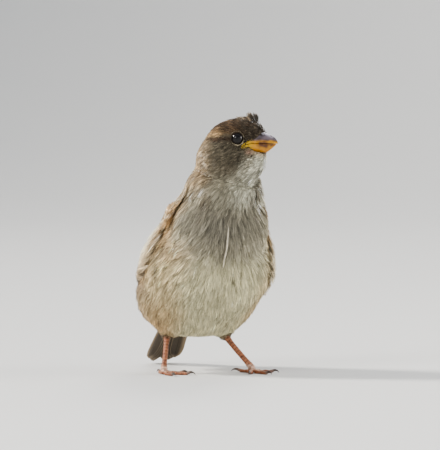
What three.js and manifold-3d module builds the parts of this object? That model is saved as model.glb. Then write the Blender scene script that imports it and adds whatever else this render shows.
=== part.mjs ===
// House sparrow, life size, standing upright with its head turned to its left.
//
// Millimetres, +Z up. The bird is laid out with its plane of symmetry on X = 0, facing -Y, with its
// left side on +X and its feet on Z = 0. The exported group is then moved sideways, so that the
// origin lies on the floor under the middle of the bird.
//
// The plumage is one smooth closed form, the blend of a few egg-shaped lobes. Head, neck and trunk
// are cut from that form by thin gaps. Wings and tail are slabs that lie on it, and bill, eyes,
// legs, toes and claws are separate solids set against it.

import * as THREE from 'three';
import { mergeVertices } from 'three/addons/utils/BufferGeometryUtils.js';
import Module from 'manifold-3d';

const wasm = await Module();
wasm.setup();

// ---------------------------------------------------------------- driving dimensions

const GAP = 0.3;                    // between any two pieces that touch
const BLEND = 2.2;                  // how softly the plumage lobes run into each other
const BODY_PITCH = 62;              // degrees above the horizontal, from vent to breast
const HEAD_AT = [3.7, -24, 107];  // middle of the skull
const HEAD_YAW = 41;                // degrees the head is turned to the bird's left

const EYE_RADIUS = 2.9;
const EYE_PLACE = [5.6, 7.5, 4.6];  // forward, sideways, up from the middle of the skull

const BILL_ROOT = 7;                // from the middle of the skull to the corner of the mouth
const BILL_TIP = 22.9;              // from the middle of the skull to the bill's tip
const BILL_LEVEL = 2.2;             // height over the middle of the skull where the mandibles meet
const GAPE_DROP = 1.3;              // how far the corner of the mouth lies below that
const BILL_HALF_WIDTH = 6;          // at the corner of the mouth
const UPPER_DEPTH = 5.5;
const LOWER_DEPTH = 3.9;

const FACE_TURN = 33;               // degrees by which the sides of the face close in on the bill
const FACE_OUT = 11;                // from the middle of the skull straight out to a side of the face
const FACE_SOFT = 0.8;              // how softly the sides of the face run into the head
const FACE_CORNER = [7.8, 0.9];     // where the plumage ends at the corner of the mouth: forward, up
const FACE_FRONT = [16.4, 7.7];     // where it ends on the ridge of the bill
const CHIN_LEVEL = -1.6;            // height of its edge along the lower mandible

const WING_THICK = 1.6;
const TAIL_LENGTH = 54;
const TAIL_PITCH = 46;              // degrees the tail slopes down towards its tip
const TAIL_BASE = [0.6, 27.5, 39.6];
const TAIL_TIP_HALF_WIDTH = 9.8;
const TAIL_THICK = 1.1;

const SIDES = { left: 1, right: -1 };
const WING_FRONT = { left: 108, right: 86 };  // degrees round the body, from spine to wing edge
const ANKLE = { left: [11.3, 3.9, 17.5], right: [-16.8, 9.3, 17.6] };
const FOOT = { left: [21.3, -4.3], right: [-20.9, 2.6] };
const FOOT_YAW = { left: 14, right: 50 };     // degrees the foot points to the bird's left
const HUB_HEIGHT = 2.3;             // middle of the foot over the floor
const HUB_RADIUS = 1.7;
const TARSUS_RADIUS = 1.15;
const TOE_RADIUS = 1.05;

// ---------------------------------------------------------------- small helpers

const rad = THREE.MathUtils.degToRad;
const lerp = THREE.MathUtils.lerp;
const smooth = THREE.MathUtils.smoothstep;
const vec = (a) => new THREE.Vector3(...a);

/** A closed three.js geometry as a manifold-3d solid. */
function solidOf(geometry) {
  const bare = new THREE.BufferGeometry().setAttribute('position', geometry.getAttribute('position'));
  if (geometry.index) bare.setIndex(geometry.index);
  const merged = mergeVertices(bare, 1e-4);
  return new wasm.Manifold(new wasm.Mesh({
    numProp: 3,
    vertProperties: new Float32Array(merged.attributes.position.array),
    triVerts: new Uint32Array(merged.index.array),
  }));
}

/** A manifold-3d solid as a three.js geometry. */
function geometryOf(solid) {
  const { numProp, numVert, vertProperties, triVerts } = solid.getMesh();
  const points = new Float32Array(numVert * 3);
  for (let i = 0; i < numVert; i++) {
    points.set(vertProperties.subarray(i * numProp, i * numProp + 3), i * 3);
  }
  return new THREE.BufferGeometry()
    .setAttribute('position', new THREE.BufferAttribute(points, 3))
    .setIndex(new THREE.BufferAttribute(new Uint32Array(triVerts), 1))
    .toNonIndexed();
}

/** The largest of the separate bodies that a cut leaves. */
const mainBody = (solid) => solid.decompose().sort((a, b) => b.volume() - a.volume())[0];

/** A closed solid through rings of points, all with the same count, with a fan at each end. */
function loft(rings) {
  const n = rings[0].length;
  const middle = (ring) => ring.reduce((sum, p) => sum.add(p), new THREE.Vector3()).divideScalar(n);
  const points = [...rings.flat(), middle(rings[0]), middle(rings.at(-1))];
  const first = rings.length * n;
  const faces = [];
  for (let i = 0; i < n; i++) {
    const j = (i + 1) % n;
    for (let k = 0; k < rings.length - 1; k++) {
      const a = k * n;
      const b = a + n;
      faces.push(a + i, a + j, b + j, a + i, b + j, b + i);
    }
    faces.push(first, j, i, first + 1, first - n + i, first - n + j);
  }
  const closed = (indices) => solidOf(new THREE.BufferGeometry().setFromPoints(points).setIndex(indices));
  const solid = closed(faces);
  return solid.volume() > 0 ? solid : closed(faces.reverse());
}

/** A closed slab between two sheets, each a function of s along it and c across it, from 0 to 1. */
function slab(along, across, upper, lower) {
  const rings = [];
  for (let i = 0; i <= along; i++) {
    const s = i / along;
    const ring = [];
    for (let j = 0; j <= across; j++) ring.push(upper(s, j / across));
    for (let j = across; j >= 0; j--) ring.push(lower(s, j / across));
    rings.push(ring);
  }
  return loft(rings);
}

/**
 * A tube along a curve that is nowhere upright. Its half width and half height are functions of the
 * share of the way along it. Flattening it cuts its underside off level with the floor.
 */
function limb(curve, steps, sides, halfSizes, flatten = false) {
  const up = new THREE.Vector3(0, 0, 1);
  const rings = [];
  for (let k = 0; k <= steps; k++) {
    const centre = curve.getPointAt(k / steps);
    const along = curve.getTangentAt(k / steps);
    const aside = new THREE.Vector3().crossVectors(along, up).normalize();
    const top = new THREE.Vector3().crossVectors(aside, along);
    const [wide, high] = halfSizes(k / steps);
    const ring = [];
    for (let i = 0; i < sides; i++) {
      const turn = (2 * Math.PI * (i + 0.5)) / sides;
      const p = centre.clone()
        .addScaledVector(aside, wide * Math.cos(turn))
        .addScaledVector(top, high * Math.sin(turn));
      if (flatten) p.z = Math.max(p.z, 0);
      ring.push(p);
    }
    rings.push(ring);
  }
  return loft(rings);
}

// ---------------------------------------------------------------- the plumage's form

/** Axes of a lobe in the plane of symmetry: across, back-to-belly, and along a line at this pitch. */
function bodyAxes(pitch) {
  const along = new THREE.Vector3(0, -Math.cos(rad(pitch)), Math.sin(rad(pitch)));
  const across = new THREE.Vector3(1, 0, 0);
  return [across, new THREE.Vector3().crossVectors(along, across), along];
}

const headForward = new THREE.Vector3(Math.sin(rad(HEAD_YAW)), -Math.cos(rad(HEAD_YAW)), 0);
const headLeft = new THREE.Vector3(Math.cos(rad(HEAD_YAW)), Math.sin(rad(HEAD_YAW)), 0);
const headUp = new THREE.Vector3(0, 0, 1);
const skull = vec(HEAD_AT);

/** A point given in the head's own directions: forward, left, up from the middle of the skull. */
const inHead = (forward, left, up) => skull.clone()
  .addScaledVector(headForward, forward)
  .addScaledVector(headLeft, left)
  .addScaledVector(headUp, up);

/** The head's directions tilted in its plane of symmetry: across, up and along. */
function headAxes(pitch = 0) {
  const along = headForward.clone().applyAxisAngle(headLeft, -rad(pitch));
  return [headLeft, new THREE.Vector3().crossVectors(headLeft, along).negate(), along];
}

const lobe = (centre, axes, halfSizes) => ({ centre, axes, halfSizes });
const onBody = (at, halfSizes, pitch = BODY_PITCH) => lobe(vec(at), bodyAxes(pitch), halfSizes);
const onHead = (at, halfSizes, pitch = 0) => lobe(inHead(...at), headAxes(pitch), halfSizes);
const bothSides = (make) => Object.values(SIDES).map(make);

// Half sizes are given as across, back-to-belly (or top-to-bottom), along.
const bodyLobes = [
  onBody([0, -1, 50], [30.5, 25, 27]),                         // trunk
  onBody([1.5, -12, 70], [23, 20.5, 18]),                      // breast
  onBody([1, -2.5, 71], [19.5, 17, 15], 58),                   // mantle
  onBody([-2.2, 8.5, 37], [28.4, 20.8, 18], 40),               // belly
  onBody([-3, 24.5, 34], [21.5, 12, 18], 50),                  // rump and vent
  onBody([0, 34, 31.5], [8.5, 5, 15], TAIL_PITCH),             // tail coverts
  onBody([0.5, -15, 86], [16.6, 15.5, 14], 70),                // neck
  ...bothSides((side) => onBody([side * 13.5, 6, 32], [8, 9, 10], 70)),    // thighs
];
const headLobes = [
  onHead([-0.8, 0, 1.7], [11.2, 10.8, 11.6]),                  // skull
  onHead([7.4, 0, 4.6], [6.4, 8.4, 10.0], -20),                // forehead
  onHead([8.4, 0, 1.6], [3.8, 4.4, 7.0]),                      // face
  onHead([-7.5, 0, -6], [10.5, 10.3, 9], 60),                  // nape
  onHead([7.4, 0, -8.4], [7.2, 6.2, 9.4], 20),                 // throat
  ...bothSides((side) => onHead([-1.5, side * 6.0, -4.2], [5.8, 7.2, 8.4])),  // cheeks
];
const faceSides = bothSides((side) => headForward.clone().multiplyScalar(Math.sin(rad(FACE_TURN)))
  .addScaledVector(headLeft, side * Math.cos(rad(FACE_TURN))));

/** Signed distance to one lobe, in mm: negative inside. */
function lobeHeight(p, { centre, axes, halfSizes }) {
  const d = p.clone().sub(centre);
  let near = 0;
  let slope = 0;
  for (let i = 0; i < 3; i++) {
    const q = d.dot(axes[i]) / halfSizes[i];
    near += q * q;
    slope += (q / halfSizes[i]) ** 2;
  }
  const share = Math.sqrt(near);
  return near < 1e-9 ? -Math.min(...halfSizes) : (share * (share - 1)) / Math.sqrt(slope);
}

/** Forms joined, or cut by each other where the softness is negative, with a rounded corner. */
function blend(heights, softness) {
  return -softness * Math.log(heights.reduce((sum, height) => sum + Math.exp(-height / softness), 0));
}

/** Signed distance to the plumage's outer form, in mm: negative inside. */
function plumage(p) {
  const skullToPoint = p.clone().sub(skull);
  const wholeHead = blend(headLobes.map((one) => lobeHeight(p, one)), BLEND);
  const closing = faceSides.map((out) => out.dot(skullToPoint) - FACE_OUT);
  const head = blend([wholeHead, ...closing], -FACE_SOFT);
  return blend([head, ...bodyLobes.map((one) => lobeHeight(p, one))], BLEND);
}

/** The point where a ray from a place inside the plumage reaches the given height over its form. */
function surfaceOn(from, direction, height = 0) {
  const at = (t) => plumage(from.clone().addScaledVector(direction, t)) - height;
  let far = 4;
  while (at(far) < 0) far += 2;
  let near = far - 2;
  for (let i = 0; i < 22; i++) {
    const middle = (near + far) / 2;
    if (at(middle) < 0) near = middle;
    else far = middle;
  }
  return from.clone().addScaledVector(direction, (near + far) / 2);
}

/** The plumage as it is seen from one place inside it: a ball whose points are moved out to the form. */
function starSolid(centre, detail, height = 0) {
  const ball = new THREE.IcosahedronGeometry(1, detail);
  const points = ball.getAttribute('position');
  for (let i = 0; i < points.count; i++) {
    const p = surfaceOn(centre, new THREE.Vector3().fromBufferAttribute(points, i), height);
    points.setXYZ(i, ...p);
  }
  return solidOf(ball);
}

/** A block that holds everything on one side of a plane. */
function halfSpace(point, normal) {
  const reach = 400;
  const block = new THREE.BoxGeometry(reach, reach, reach).translate(0, 0, reach / 2);
  block.applyQuaternion(new THREE.Quaternion().setFromUnitVectors(new THREE.Vector3(0, 0, 1), normal));
  block.translate(...point);
  return solidOf(block);
}

// ---------------------------------------------------------------- trunk, neck and head

const neckFloor = { at: new THREE.Vector3(0, -12, 79), normal: vec([0, -0.36, 0.93]).normalize() };
const neckTop = { at: new THREE.Vector3(2, -19.5, 91.2), normal: vec([0.16, -0.3, 0.94]).normalize() };
const above = ({ at, normal }) => halfSpace(at.clone().addScaledVector(normal, GAP / 2), normal);
const below = ({ at, normal }) => {
  const down = normal.clone().negate();
  return halfSpace(at.clone().addScaledVector(down, GAP / 2), down);
};

const trunkCentre = new THREE.Vector3(0, 0, 50);
const neckCentre = new THREE.Vector3(1, -14.5, 84.5);

const eyeCentre = (side) => inHead(EYE_PLACE[0], side * EYE_PLACE[1], EYE_PLACE[2]);
const ball = (centre, radius, rows) =>
  solidOf(new THREE.IcosahedronGeometry(radius, rows).translate(...centre));

function makeTrunk() {
  return mainBody(starSolid(trunkCentre, 8).intersect(below(neckFloor)));
}

function makeNeck() {
  return mainBody(starSolid(neckCentre, 5).intersect(above(neckFloor)).intersect(below(neckTop)));
}

/** The room for the bill: the outline of its bare part seen from the side, right across the head. */
function makeBillRoom() {
  const steps = 8;
  const reach = 30;
  const halfAcross = 20;
  const [corner, cornerHeight] = FACE_CORNER;
  const [front, frontHeight] = FACE_FRONT;
  const at = (k) => lerp(corner, front, k / steps);
  const overLores = (k) => lerp(cornerHeight, frontHeight, (k / steps) ** 1.7);
  const overChin = (k) => lerp(cornerHeight, CHIN_LEVEL, smooth(k / steps, 0.3, 0.72));
  const outline = new THREE.Shape();
  outline.moveTo(corner, cornerHeight);
  for (let k = 1; k <= steps; k++) outline.lineTo(at(k), overLores(k));
  outline.lineTo(reach, frontHeight);
  outline.lineTo(reach, CHIN_LEVEL);
  for (let k = steps; k > 0; k--) outline.lineTo(at(k), overChin(k));
  const block = new THREE.ExtrudeGeometry(outline, { depth: 2 * halfAcross, bevelEnabled: false });
  block.applyMatrix4(new THREE.Matrix4().makeBasis(headForward, headUp, headLeft.clone().negate()));
  return solidOf(block.translate(...inHead(0, halfAcross, 0)));
}

const makeBareHead = () => starSolid(skull, 8).intersect(above(neckTop)).subtract(makeBillRoom());

function makeHead(bareHead) {
  let head = bareHead;
  for (const side of Object.values(SIDES)) head = head.subtract(ball(eyeCentre(side), EYE_RADIUS + GAP, 3));
  return mainBody(head.add(makeCrest()));
}

/** The ruffled tuft of feathers that stands up over the forehead. */
function makeCrest() {
  const foot = inHead(8.4, 0.5, 8.5);
  const tip = inHead(11.4, 0.3, 15.6);
  return limb(new THREE.LineCurve3(foot, tip), 5, 8, (s) => [lerp(2.8, 1.2, s), lerp(3.6, 1.8, s)]);
}

// ---------------------------------------------------------------- bill

/**
 * One mandible. The edge is the flat side where it meets the other one, and the ridge is its
 * rounded side: both are heights over the middle of the skull, along s from 0 at the root to 1.
 */
function makeMandible(edge, ridge, tip, bareHead) {
  const steps = 10;
  const sides = 12;
  const rings = [];
  for (let k = 0; k <= steps; k++) {
    const s = k / steps;
    const halfWidth = lerp(BILL_HALF_WIDTH, 0.35, Math.pow(s, 1.35));
    const ring = [];
    for (let i = 0; i < sides; i++) {
      const turn = (2 * Math.PI * i) / sides;
      const rise = Math.max(0, Math.sin(turn)) ** 0.85;
      const height = edge(s) + (ridge(s) - edge(s)) * rise;
      ring.push(inHead(lerp(BILL_ROOT, tip, s), halfWidth * Math.cos(turn), height));
    }
    rings.push(ring);
  }
  const clear = 1.5 * GAP;
  let mandible = loft(rings);
  for (const way of [headUp, headUp.clone().negate(), headForward]) {
    mandible = mandible.subtract(bareHead.translate(...way.clone().multiplyScalar(clear)));
  }
  return mainBody(mandible);
}

/** The line where the mandibles meet: it rises from the corner of the mouth and then runs level. */
function mouthLine(s) {
  const drop = GAPE_DROP * Math.max(0, 1 - s / 0.45) ** 2;
  return BILL_LEVEL + 0.3 * Math.sin(Math.PI * s) - drop;
}

const makeUpperMandible = (bareHead) => makeMandible(
  (s) => mouthLine(s) + GAP / 2,
  (s) => BILL_LEVEL + 0.4 + UPPER_DEPTH * (1 - s ** 2.9) ** 0.6,
  BILL_TIP,
  bareHead,
);

const makeLowerMandible = (bareHead) => makeMandible(
  (s) => mouthLine(s) - GAP / 2,
  (s) => BILL_LEVEL - 0.4 - LOWER_DEPTH * (1 - s ** 4) ** 0.7,
  BILL_TIP - 0.9,
  bareHead,
);

// ---------------------------------------------------------------- wings

// Where a folded wing lies: along the body's line from shoulder to wing tip, and around it, where
// 0 degrees is the middle of the back and 90 is the flank.
const WING_LINE = new THREE.CatmullRomCurve3([
  new THREE.Vector3(0, -9, 75),
  new THREE.Vector3(0, -3, 58),
  new THREE.Vector3(0, 12, 42),
  new THREE.Vector3(0, 37, 27.5),
]);
const WING_STEPS = 14;
const WING_ROWS = 7;
const WING_CLEARANCE = 0.7;         // over the plumage, so that the flat faces stay clear of it too

function wingPoint(side, front, s, c, height) {
  const axis = WING_LINE.getPointAt(s);
  const down = WING_LINE.getTangentAt(s);
  const across = new THREE.Vector3(side, 0, 0);
  const back = new THREE.Vector3().crossVectors(across, down).multiplyScalar(side);
  const upperEdge = lerp(52, 14, smooth(s, -0.1, 0.4));
  const lowerEdge = lerp(lerp(74, front, smooth(s, -0.06, 0.28)), 46, smooth(s, 0.4, 1));
  const turn = rad(lerp(upperEdge, lowerEdge, c));
  const out = back.multiplyScalar(Math.cos(turn)).addScaledVector(across, Math.sin(turn));
  return surfaceOn(axis, out, height);
}

function makeWing(side) {
  const sign = SIDES[side];
  const front = WING_FRONT[side];
  const thick = (s, c) => {
    const rounded = Math.sqrt(Math.max(0, 1 - (2 * c - 1) ** 2));
    return 0.5 + (WING_THICK - 0.5) * rounded * lerp(1, 0.35, s) * smooth(s, -0.05, 0.12);
  };
  return slab(
    WING_STEPS, WING_ROWS,
    (s, c) => wingPoint(sign, front, s, c, WING_CLEARANCE + thick(s, c)),
    (s, c) => wingPoint(sign, front, s, c, WING_CLEARANCE),
  );
}

// ---------------------------------------------------------------- tail

const tailDown = new THREE.Vector3(0, Math.cos(rad(TAIL_PITCH)), -Math.sin(rad(TAIL_PITCH)));
const tailUp = new THREE.Vector3(0, Math.sin(rad(TAIL_PITCH)), Math.cos(rad(TAIL_PITCH)));

/** A point of the closed tail: s along the feathers, c across, and the height over its middle sheet. */
function tailPoint(s, c, height) {
  const across = 2 * c - 1;
  const halfWidth = lerp(4.6, TAIL_TIP_HALF_WIDTH, Math.pow(s, 0.8));
  const notch = 1 - 0.05 * (1 - Math.abs(across)) * smooth(s, 0.7, 1) - 0.05 * across ** 6;
  const arch = -1.6 * across * across;
  return vec(TAIL_BASE)
    .addScaledVector(tailDown, TAIL_LENGTH * s * notch)
    .addScaledVector(tailUp, arch + height)
    .add(new THREE.Vector3(halfWidth * across, 0, 0));
}

function makeTail(trunkGrown) {
  const half = (s) => (TAIL_THICK / 2) * lerp(1.5, 1, s);
  const whole = slab(6, 8, (s, c) => tailPoint(s, c, half(s)), (s, c) => tailPoint(s, c, -half(s)));
  return mainBody(whole.subtract(trunkGrown));
}

// ---------------------------------------------------------------- legs

/** The feathered end of the leg, from inside the belly's plumage down to the ankle. */
function makeLegFeathers(side, extra = 0) {
  const ankle = vec(ANKLE[side]);
  const hip = ankle.clone().add(new THREE.Vector3(0, 3, 13));
  const end = ankle.clone().add(new THREE.Vector3(0, 0, -extra));
  const halfSizes = (s) => [lerp(5.2, 2.1, s) + extra, lerp(6.2, 2.3, s) + extra];
  return limb(new THREE.LineCurve3(hip, end), 6, 12, halfSizes);
}

/** The middle of the foot, where the toes spread from. */
const footHub = (side) => new THREE.Vector3(...FOOT[side], HUB_HEIGHT);

function makeTarsus(side) {
  const ankle = vec(ANKLE[side]);
  const hub = footHub(side);
  const along = hub.clone().sub(ankle).normalize();
  const curve = new THREE.LineCurve3(ankle, hub.addScaledVector(along, -(HUB_RADIUS + GAP + 0.15)));
  const swell = (s) => 0.45 * (1 - smooth(s, 0, 0.25)) + 0.35 * smooth(s, 0.78, 1);
  const whole = limb(curve, 7, 8, (s) => [TARSUS_RADIUS + swell(s), TARSUS_RADIUS + 0.1 + swell(s)]);
  return mainBody(whole.subtract(makeLegFeathers(side, GAP + 0.05)));
}

function makeHub(side, extra = 0) {
  const hub = new THREE.IcosahedronGeometry(HUB_RADIUS + extra, 1);
  return solidOf(hub.scale(1, 1, 1.1).translate(...footHub(side)));
}

// Each toe: its angle from the foot's line in degrees (positive to the bird's left), length to the
// base of the claw, and the claw's length.
const TOES = {
  toe_1: { angle: { left: 200, right: 125 }, length: 6.6, claw: 5.4, joints: 1 },
  toe_2: { angle: { left: -44, right: 32 }, length: 8.2, claw: 3.8, joints: 2 },
  toe_3: { angle: { left: 0, right: 4 }, length: 11.2, claw: 4.2, joints: 3 },
  toe_4: { angle: { left: 46, right: -46 }, length: 9.0, claw: 3.8, joints: 3 },
};

function toeDirection(side, name) {
  const yaw = rad(FOOT_YAW[side] + TOES[name].angle[side]);
  return new THREE.Vector3(Math.sin(yaw), -Math.cos(yaw), 0);
}

/** One toe, resting on its pads, with a slight arch between them. */
function makeToe(side, name, extra = 0) {
  const { length, joints } = TOES[name];
  const out = toeDirection(side, name);
  const hub = footHub(side);
  const at = (distance, height) => hub.clone().setZ(height).addScaledVector(out, distance);
  const curve = new THREE.CatmullRomCurve3([
    at(0.6, 1.6), at(length * 0.35, 0.72), at(length * 0.7, 0.62), at(length, 0.6),
  ]);
  const pads = (s) => 1 + 0.13 * Math.cos(2 * Math.PI * (joints * s - 0.15));
  return limb(curve, 7, 8, (s) => {
    const r = lerp(TOE_RADIUS, TOE_RADIUS * 0.8, s) * pads(s) + extra;
    return [r, r];
  }, extra === 0);
}

/** A hooked claw that leaves the toe's end upwards and comes down to the floor. */
function makeClaw(side, name) {
  const { length, claw } = TOES[name];
  const out = toeDirection(side, name);
  const start = footHub(side).addScaledVector(out, length + GAP);
  const at = (distance, height) => start.clone().addScaledVector(out, distance).setZ(height);
  const curve = new THREE.CatmullRomCurve3([
    at(0, 0.85), at(claw * 0.38, 1.45), at(claw * 0.72, 1.2), at(claw * 0.92, 0.36),
  ]);
  return limb(curve, 6, 6, (s) => [lerp(0.62, 0.14, s), lerp(0.8, 0.16, s)]);
}

/** The four toes of one foot, cut clear of the hub and of each other. */
function makeToes(side) {
  const hubRoom = makeHub(side, GAP);
  const made = {};
  const cutters = [];
  for (const name of ['toe_3', 'toe_1', 'toe_2', 'toe_4']) {
    let toe = makeToe(side, name).subtract(hubRoom);
    for (const cutter of cutters) toe = toe.subtract(cutter);
    made[name] = mainBody(toe);
    cutters.push(makeToe(side, name, GAP));
  }
  return made;
}

// ---------------------------------------------------------------- the model

const LOOKS = {
  head: [0x8a7a63, 0.9], neck: [0x9b8d78, 0.9], trunk: [0xb8ad98, 0.9],
  wing: [0x7a5f45, 0.85], tail: [0x5a4a3c, 0.85], thigh: [0xa99b84, 0.9],
  bill_upper: [0x6f5f5a, 0.4], bill_lower: [0xd99a2b, 0.4], eye: [0x120d0b, 0.08],
  leg: [0xb56f4e, 0.55], claw: [0x3a2d28, 0.45],
};

const bird = new THREE.Group();

function put(name, look, solid) {
  const [color, roughness] = LOOKS[look];
  const mesh = new THREE.Mesh(geometryOf(solid), new THREE.MeshStandardMaterial({ color, roughness }));
  mesh.name = name;
  bird.add(mesh);
}

const trunkGrown = starSolid(trunkCentre, 12, GAP + 0.1);
const bareHead = makeBareHead();

put('trunk', 'trunk', makeTrunk());
put('neck', 'neck', makeNeck());
put('head', 'head', makeHead(bareHead));
put('bill_upper', 'bill_upper', makeUpperMandible(bareHead));
put('bill_lower', 'bill_lower', makeLowerMandible(bareHead));
put('tail', 'tail', makeTail(trunkGrown));

for (const [side, sign] of Object.entries(SIDES)) {
  put(`eye_${side}`, 'eye', ball(eyeCentre(sign), EYE_RADIUS, 3));
  put(`wing_${side}`, 'wing', makeWing(side));
  put(`thigh_${side}`, 'thigh', mainBody(makeLegFeathers(side).subtract(trunkGrown)));
  put(`tarsus_${side}`, 'leg', makeTarsus(side));
  put(`foot_${side}`, 'leg', makeHub(side));
  for (const [name, toe] of Object.entries(makeToes(side))) {
    put(`${name}_${side}`, 'leg', toe);
    put(`claw_${name.at(-1)}_${side}`, 'claw', makeClaw(side, name));
  }
}

const extent = new THREE.Box3().setFromObject(bird);
const middle = extent.getCenter(new THREE.Vector3());
bird.position.set(-middle.x, -middle.y, 0);
const sparrow = new THREE.Group().add(bird);

export default sparrow;
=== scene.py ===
"""The looks of a life-size house sparrow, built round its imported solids: skin, feathers, bill, eyes and legs.

Lengths are millimetres in the bird's own frame: it faces -Y, its left is +X and it stands on Z = 0.
mesh_of() and tube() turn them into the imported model's frame, in metres.
"""

import math
from collections import namedtuple

import bmesh
import bpy
import numpy as np
from mathutils import Matrix, Vector
from mathutils.kdtree import KDTree


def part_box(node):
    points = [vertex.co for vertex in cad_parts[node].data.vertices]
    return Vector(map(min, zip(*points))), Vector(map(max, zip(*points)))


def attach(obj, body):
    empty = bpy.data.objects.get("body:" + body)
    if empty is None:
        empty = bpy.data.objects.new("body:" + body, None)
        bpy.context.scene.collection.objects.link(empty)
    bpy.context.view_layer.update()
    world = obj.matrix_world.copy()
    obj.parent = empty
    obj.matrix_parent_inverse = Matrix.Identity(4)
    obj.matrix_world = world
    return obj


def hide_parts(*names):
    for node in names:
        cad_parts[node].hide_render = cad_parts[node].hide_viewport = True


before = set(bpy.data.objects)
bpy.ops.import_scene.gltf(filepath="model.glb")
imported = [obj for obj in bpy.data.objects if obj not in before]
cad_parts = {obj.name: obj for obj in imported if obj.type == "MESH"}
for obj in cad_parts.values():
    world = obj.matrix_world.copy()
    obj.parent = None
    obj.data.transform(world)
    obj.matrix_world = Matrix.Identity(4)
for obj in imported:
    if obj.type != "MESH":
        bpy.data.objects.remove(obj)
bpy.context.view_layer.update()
SIDES = {"left": 1, "right": -1}

# ------------------------------------------------------------------ sizes, as in the solids

BLEND = 2.2
BODY_PITCH = 62
TAIL_PITCH = 46
HEAD_AT = np.array([3.7, -24.0, 107.0])
HEAD_YAW = math.radians(41)
EYE_RADIUS = 2.9
EYE_PLACE = (5.6, 7.5, 4.6)
BILL_ROOT = 7.0
BILL_TIP = 22.9
BILL_LEVEL = 2.2
GAPE_DROP = 1.3
BILL_HALF_WIDTH = 6.0
UPPER_DEPTH = 5.5
LOWER_DEPTH = 3.9
FACE_TURN = math.radians(33)
FACE_OUT = 11.0
FACE_SOFT = 0.8
FACE_CORNER = (7.8, 0.9)
FACE_FRONT = (16.4, 7.7)
CHIN_LEVEL = -1.6
WING_CLEARANCE = 0.7
WING_FRONT = {"left": 108, "right": 86}
TAIL_LENGTH = 54.0
TAIL_BASE = np.array([0.6, 27.5, 39.6])
TAIL_TIP_HALF_WIDTH = 9.8
ANKLE = {"left": (11.3, 3.9, 17.5), "right": (-16.8, 9.3, 17.6)}
FOOT = {"left": (21.3, -4.3), "right": (-20.9, 2.6)}
FOOT_YAW = {"left": 14, "right": 50}
HUB_HEIGHT = 2.3
HUB_RADIUS = 1.7
TARSUS_RADIUS = 1.15
TOE_RADIUS = 1.05
CLAW_GAP = 0.3
TOES = {
    "toe_1": {"angle": {"left": 200, "right": 125}, "length": 6.6, "claw": 5.4, "joints": 1},
    "toe_2": {"angle": {"left": -44, "right": 32}, "length": 8.2, "claw": 3.8, "joints": 2},
    "toe_3": {"angle": {"left": 0, "right": 4}, "length": 11.2, "claw": 4.2, "joints": 3},
    "toe_4": {"angle": {"left": 46, "right": -46}, "length": 9.0, "claw": 3.8, "joints": 3},
}

# ------------------------------------------------------------------ small helpers


def lerp(a, b, t):
    """From a to b by the share t."""
    return a + (b - a) * t


def smooth(x, low, high):
    """0 up to low, 1 from high on, and a soft step between them."""
    t = np.clip((x - low) / (high - low), 0.0, 1.0)
    return t * t * (3 - 2 * t)


def bell(x, middle, width):
    """1 at the middle, fading to nothing about two widths away."""
    return np.exp(-(((x - middle) / width) ** 2))


def unit(v):
    """Vectors brought to length 1."""
    return v / np.maximum(np.linalg.norm(v, axis=-1, keepdims=True), 1e-9)


def dot(a, b):
    """The dot product of each pair of vectors."""
    return np.sum(a * b, axis=-1)


def along_form(directions, normals):
    """Directions laid flat on a form with these normals."""
    return unit(directions - dot(directions, normals)[:, None] * normals)


def srgb(red, green, blue):
    """A colour given as a screen shows it, 0 to 255, as linear light."""
    c = np.array([red, green, blue]) / 255.0
    return np.where(c <= 0.04045, c / 12.92, ((c + 0.055) / 1.055) ** 2.4)


def mix(a, b, share):
    """Colour a turned into colour b by a share for each point."""
    return a + (b - a) * np.asarray(share)[..., None]


# What each piece's random numbers start from. Paired pieces add 1 on the left and take 1 off on the right.
SEEDS = {
    "noise": 7,
    "places": 11,
    "coat": 12,
    "crest": 31,
    "parting": 35,
    "wing": 40,
    "tail": 50,
    "covers": 60,
    "lesser": 61,
    "scapular": 63,
    "flank": 65,
    "shoulder": 67,
    "eye_ring": 80,
}

LATTICE_SIDE = 32
LATTICE = np.random.default_rng(SEEDS["noise"]).uniform(-1, 1, (LATTICE_SIDE,) * 3)


def noise(points, size):
    """Smooth noise from -1 to 1 whose blobs are about this many millimetres across."""
    at = np.asarray(points) / size
    cell = np.floor(at).astype(int)
    part = smooth(at - cell, 0, 1)
    total = 0.0
    for corner in np.ndindex(2, 2, 2):
        index = np.moveaxis((cell + corner) % LATTICE_SIDE, -1, 0)
        weight = np.prod(np.where(np.array(corner) == 1, part, 1 - part), axis=-1)
        total = total + LATTICE[tuple(index)] * weight
    return total


# ------------------------------------------------------------------ the plumage's form

FORWARD = np.array([math.sin(HEAD_YAW), -math.cos(HEAD_YAW), 0.0])
LEFT = np.array([math.cos(HEAD_YAW), math.sin(HEAD_YAW), 0.0])
UP = np.array([0.0, 0.0, 1.0])


def in_head(forward, sideways, up):
    """A point given in the head's own directions from the middle of the skull."""
    parts = [np.asarray(x)[..., None] * axis for x, axis in ((forward, FORWARD), (sideways, LEFT), (up, UP))]
    return HEAD_AT + parts[0] + parts[1] + parts[2]


def head_coordinates(points):
    """How far forward, to the left and up from the middle of the skull each point is."""
    away = points - HEAD_AT
    return away @ FORWARD, away @ LEFT, away @ UP


def body_lobe(at, half_sizes, pitch=BODY_PITCH):
    """A lobe of the body as its middle, its axes and its half sizes along them."""
    p = math.radians(pitch)
    along = np.array([0.0, -math.cos(p), math.sin(p)])
    across = np.array([1.0, 0.0, 0.0])
    return np.array(at, float), np.array([across, np.cross(along, across), along]), np.array(half_sizes)


def head_lobe(at, half_sizes, pitch=0):
    """A lobe of the head, placed and turned in the head's own directions."""
    p = math.radians(pitch)
    along = FORWARD * math.cos(p) + UP * math.sin(p)
    return in_head(*at), np.array([LEFT, np.cross(along, LEFT), along]), np.array(half_sizes)


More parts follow.
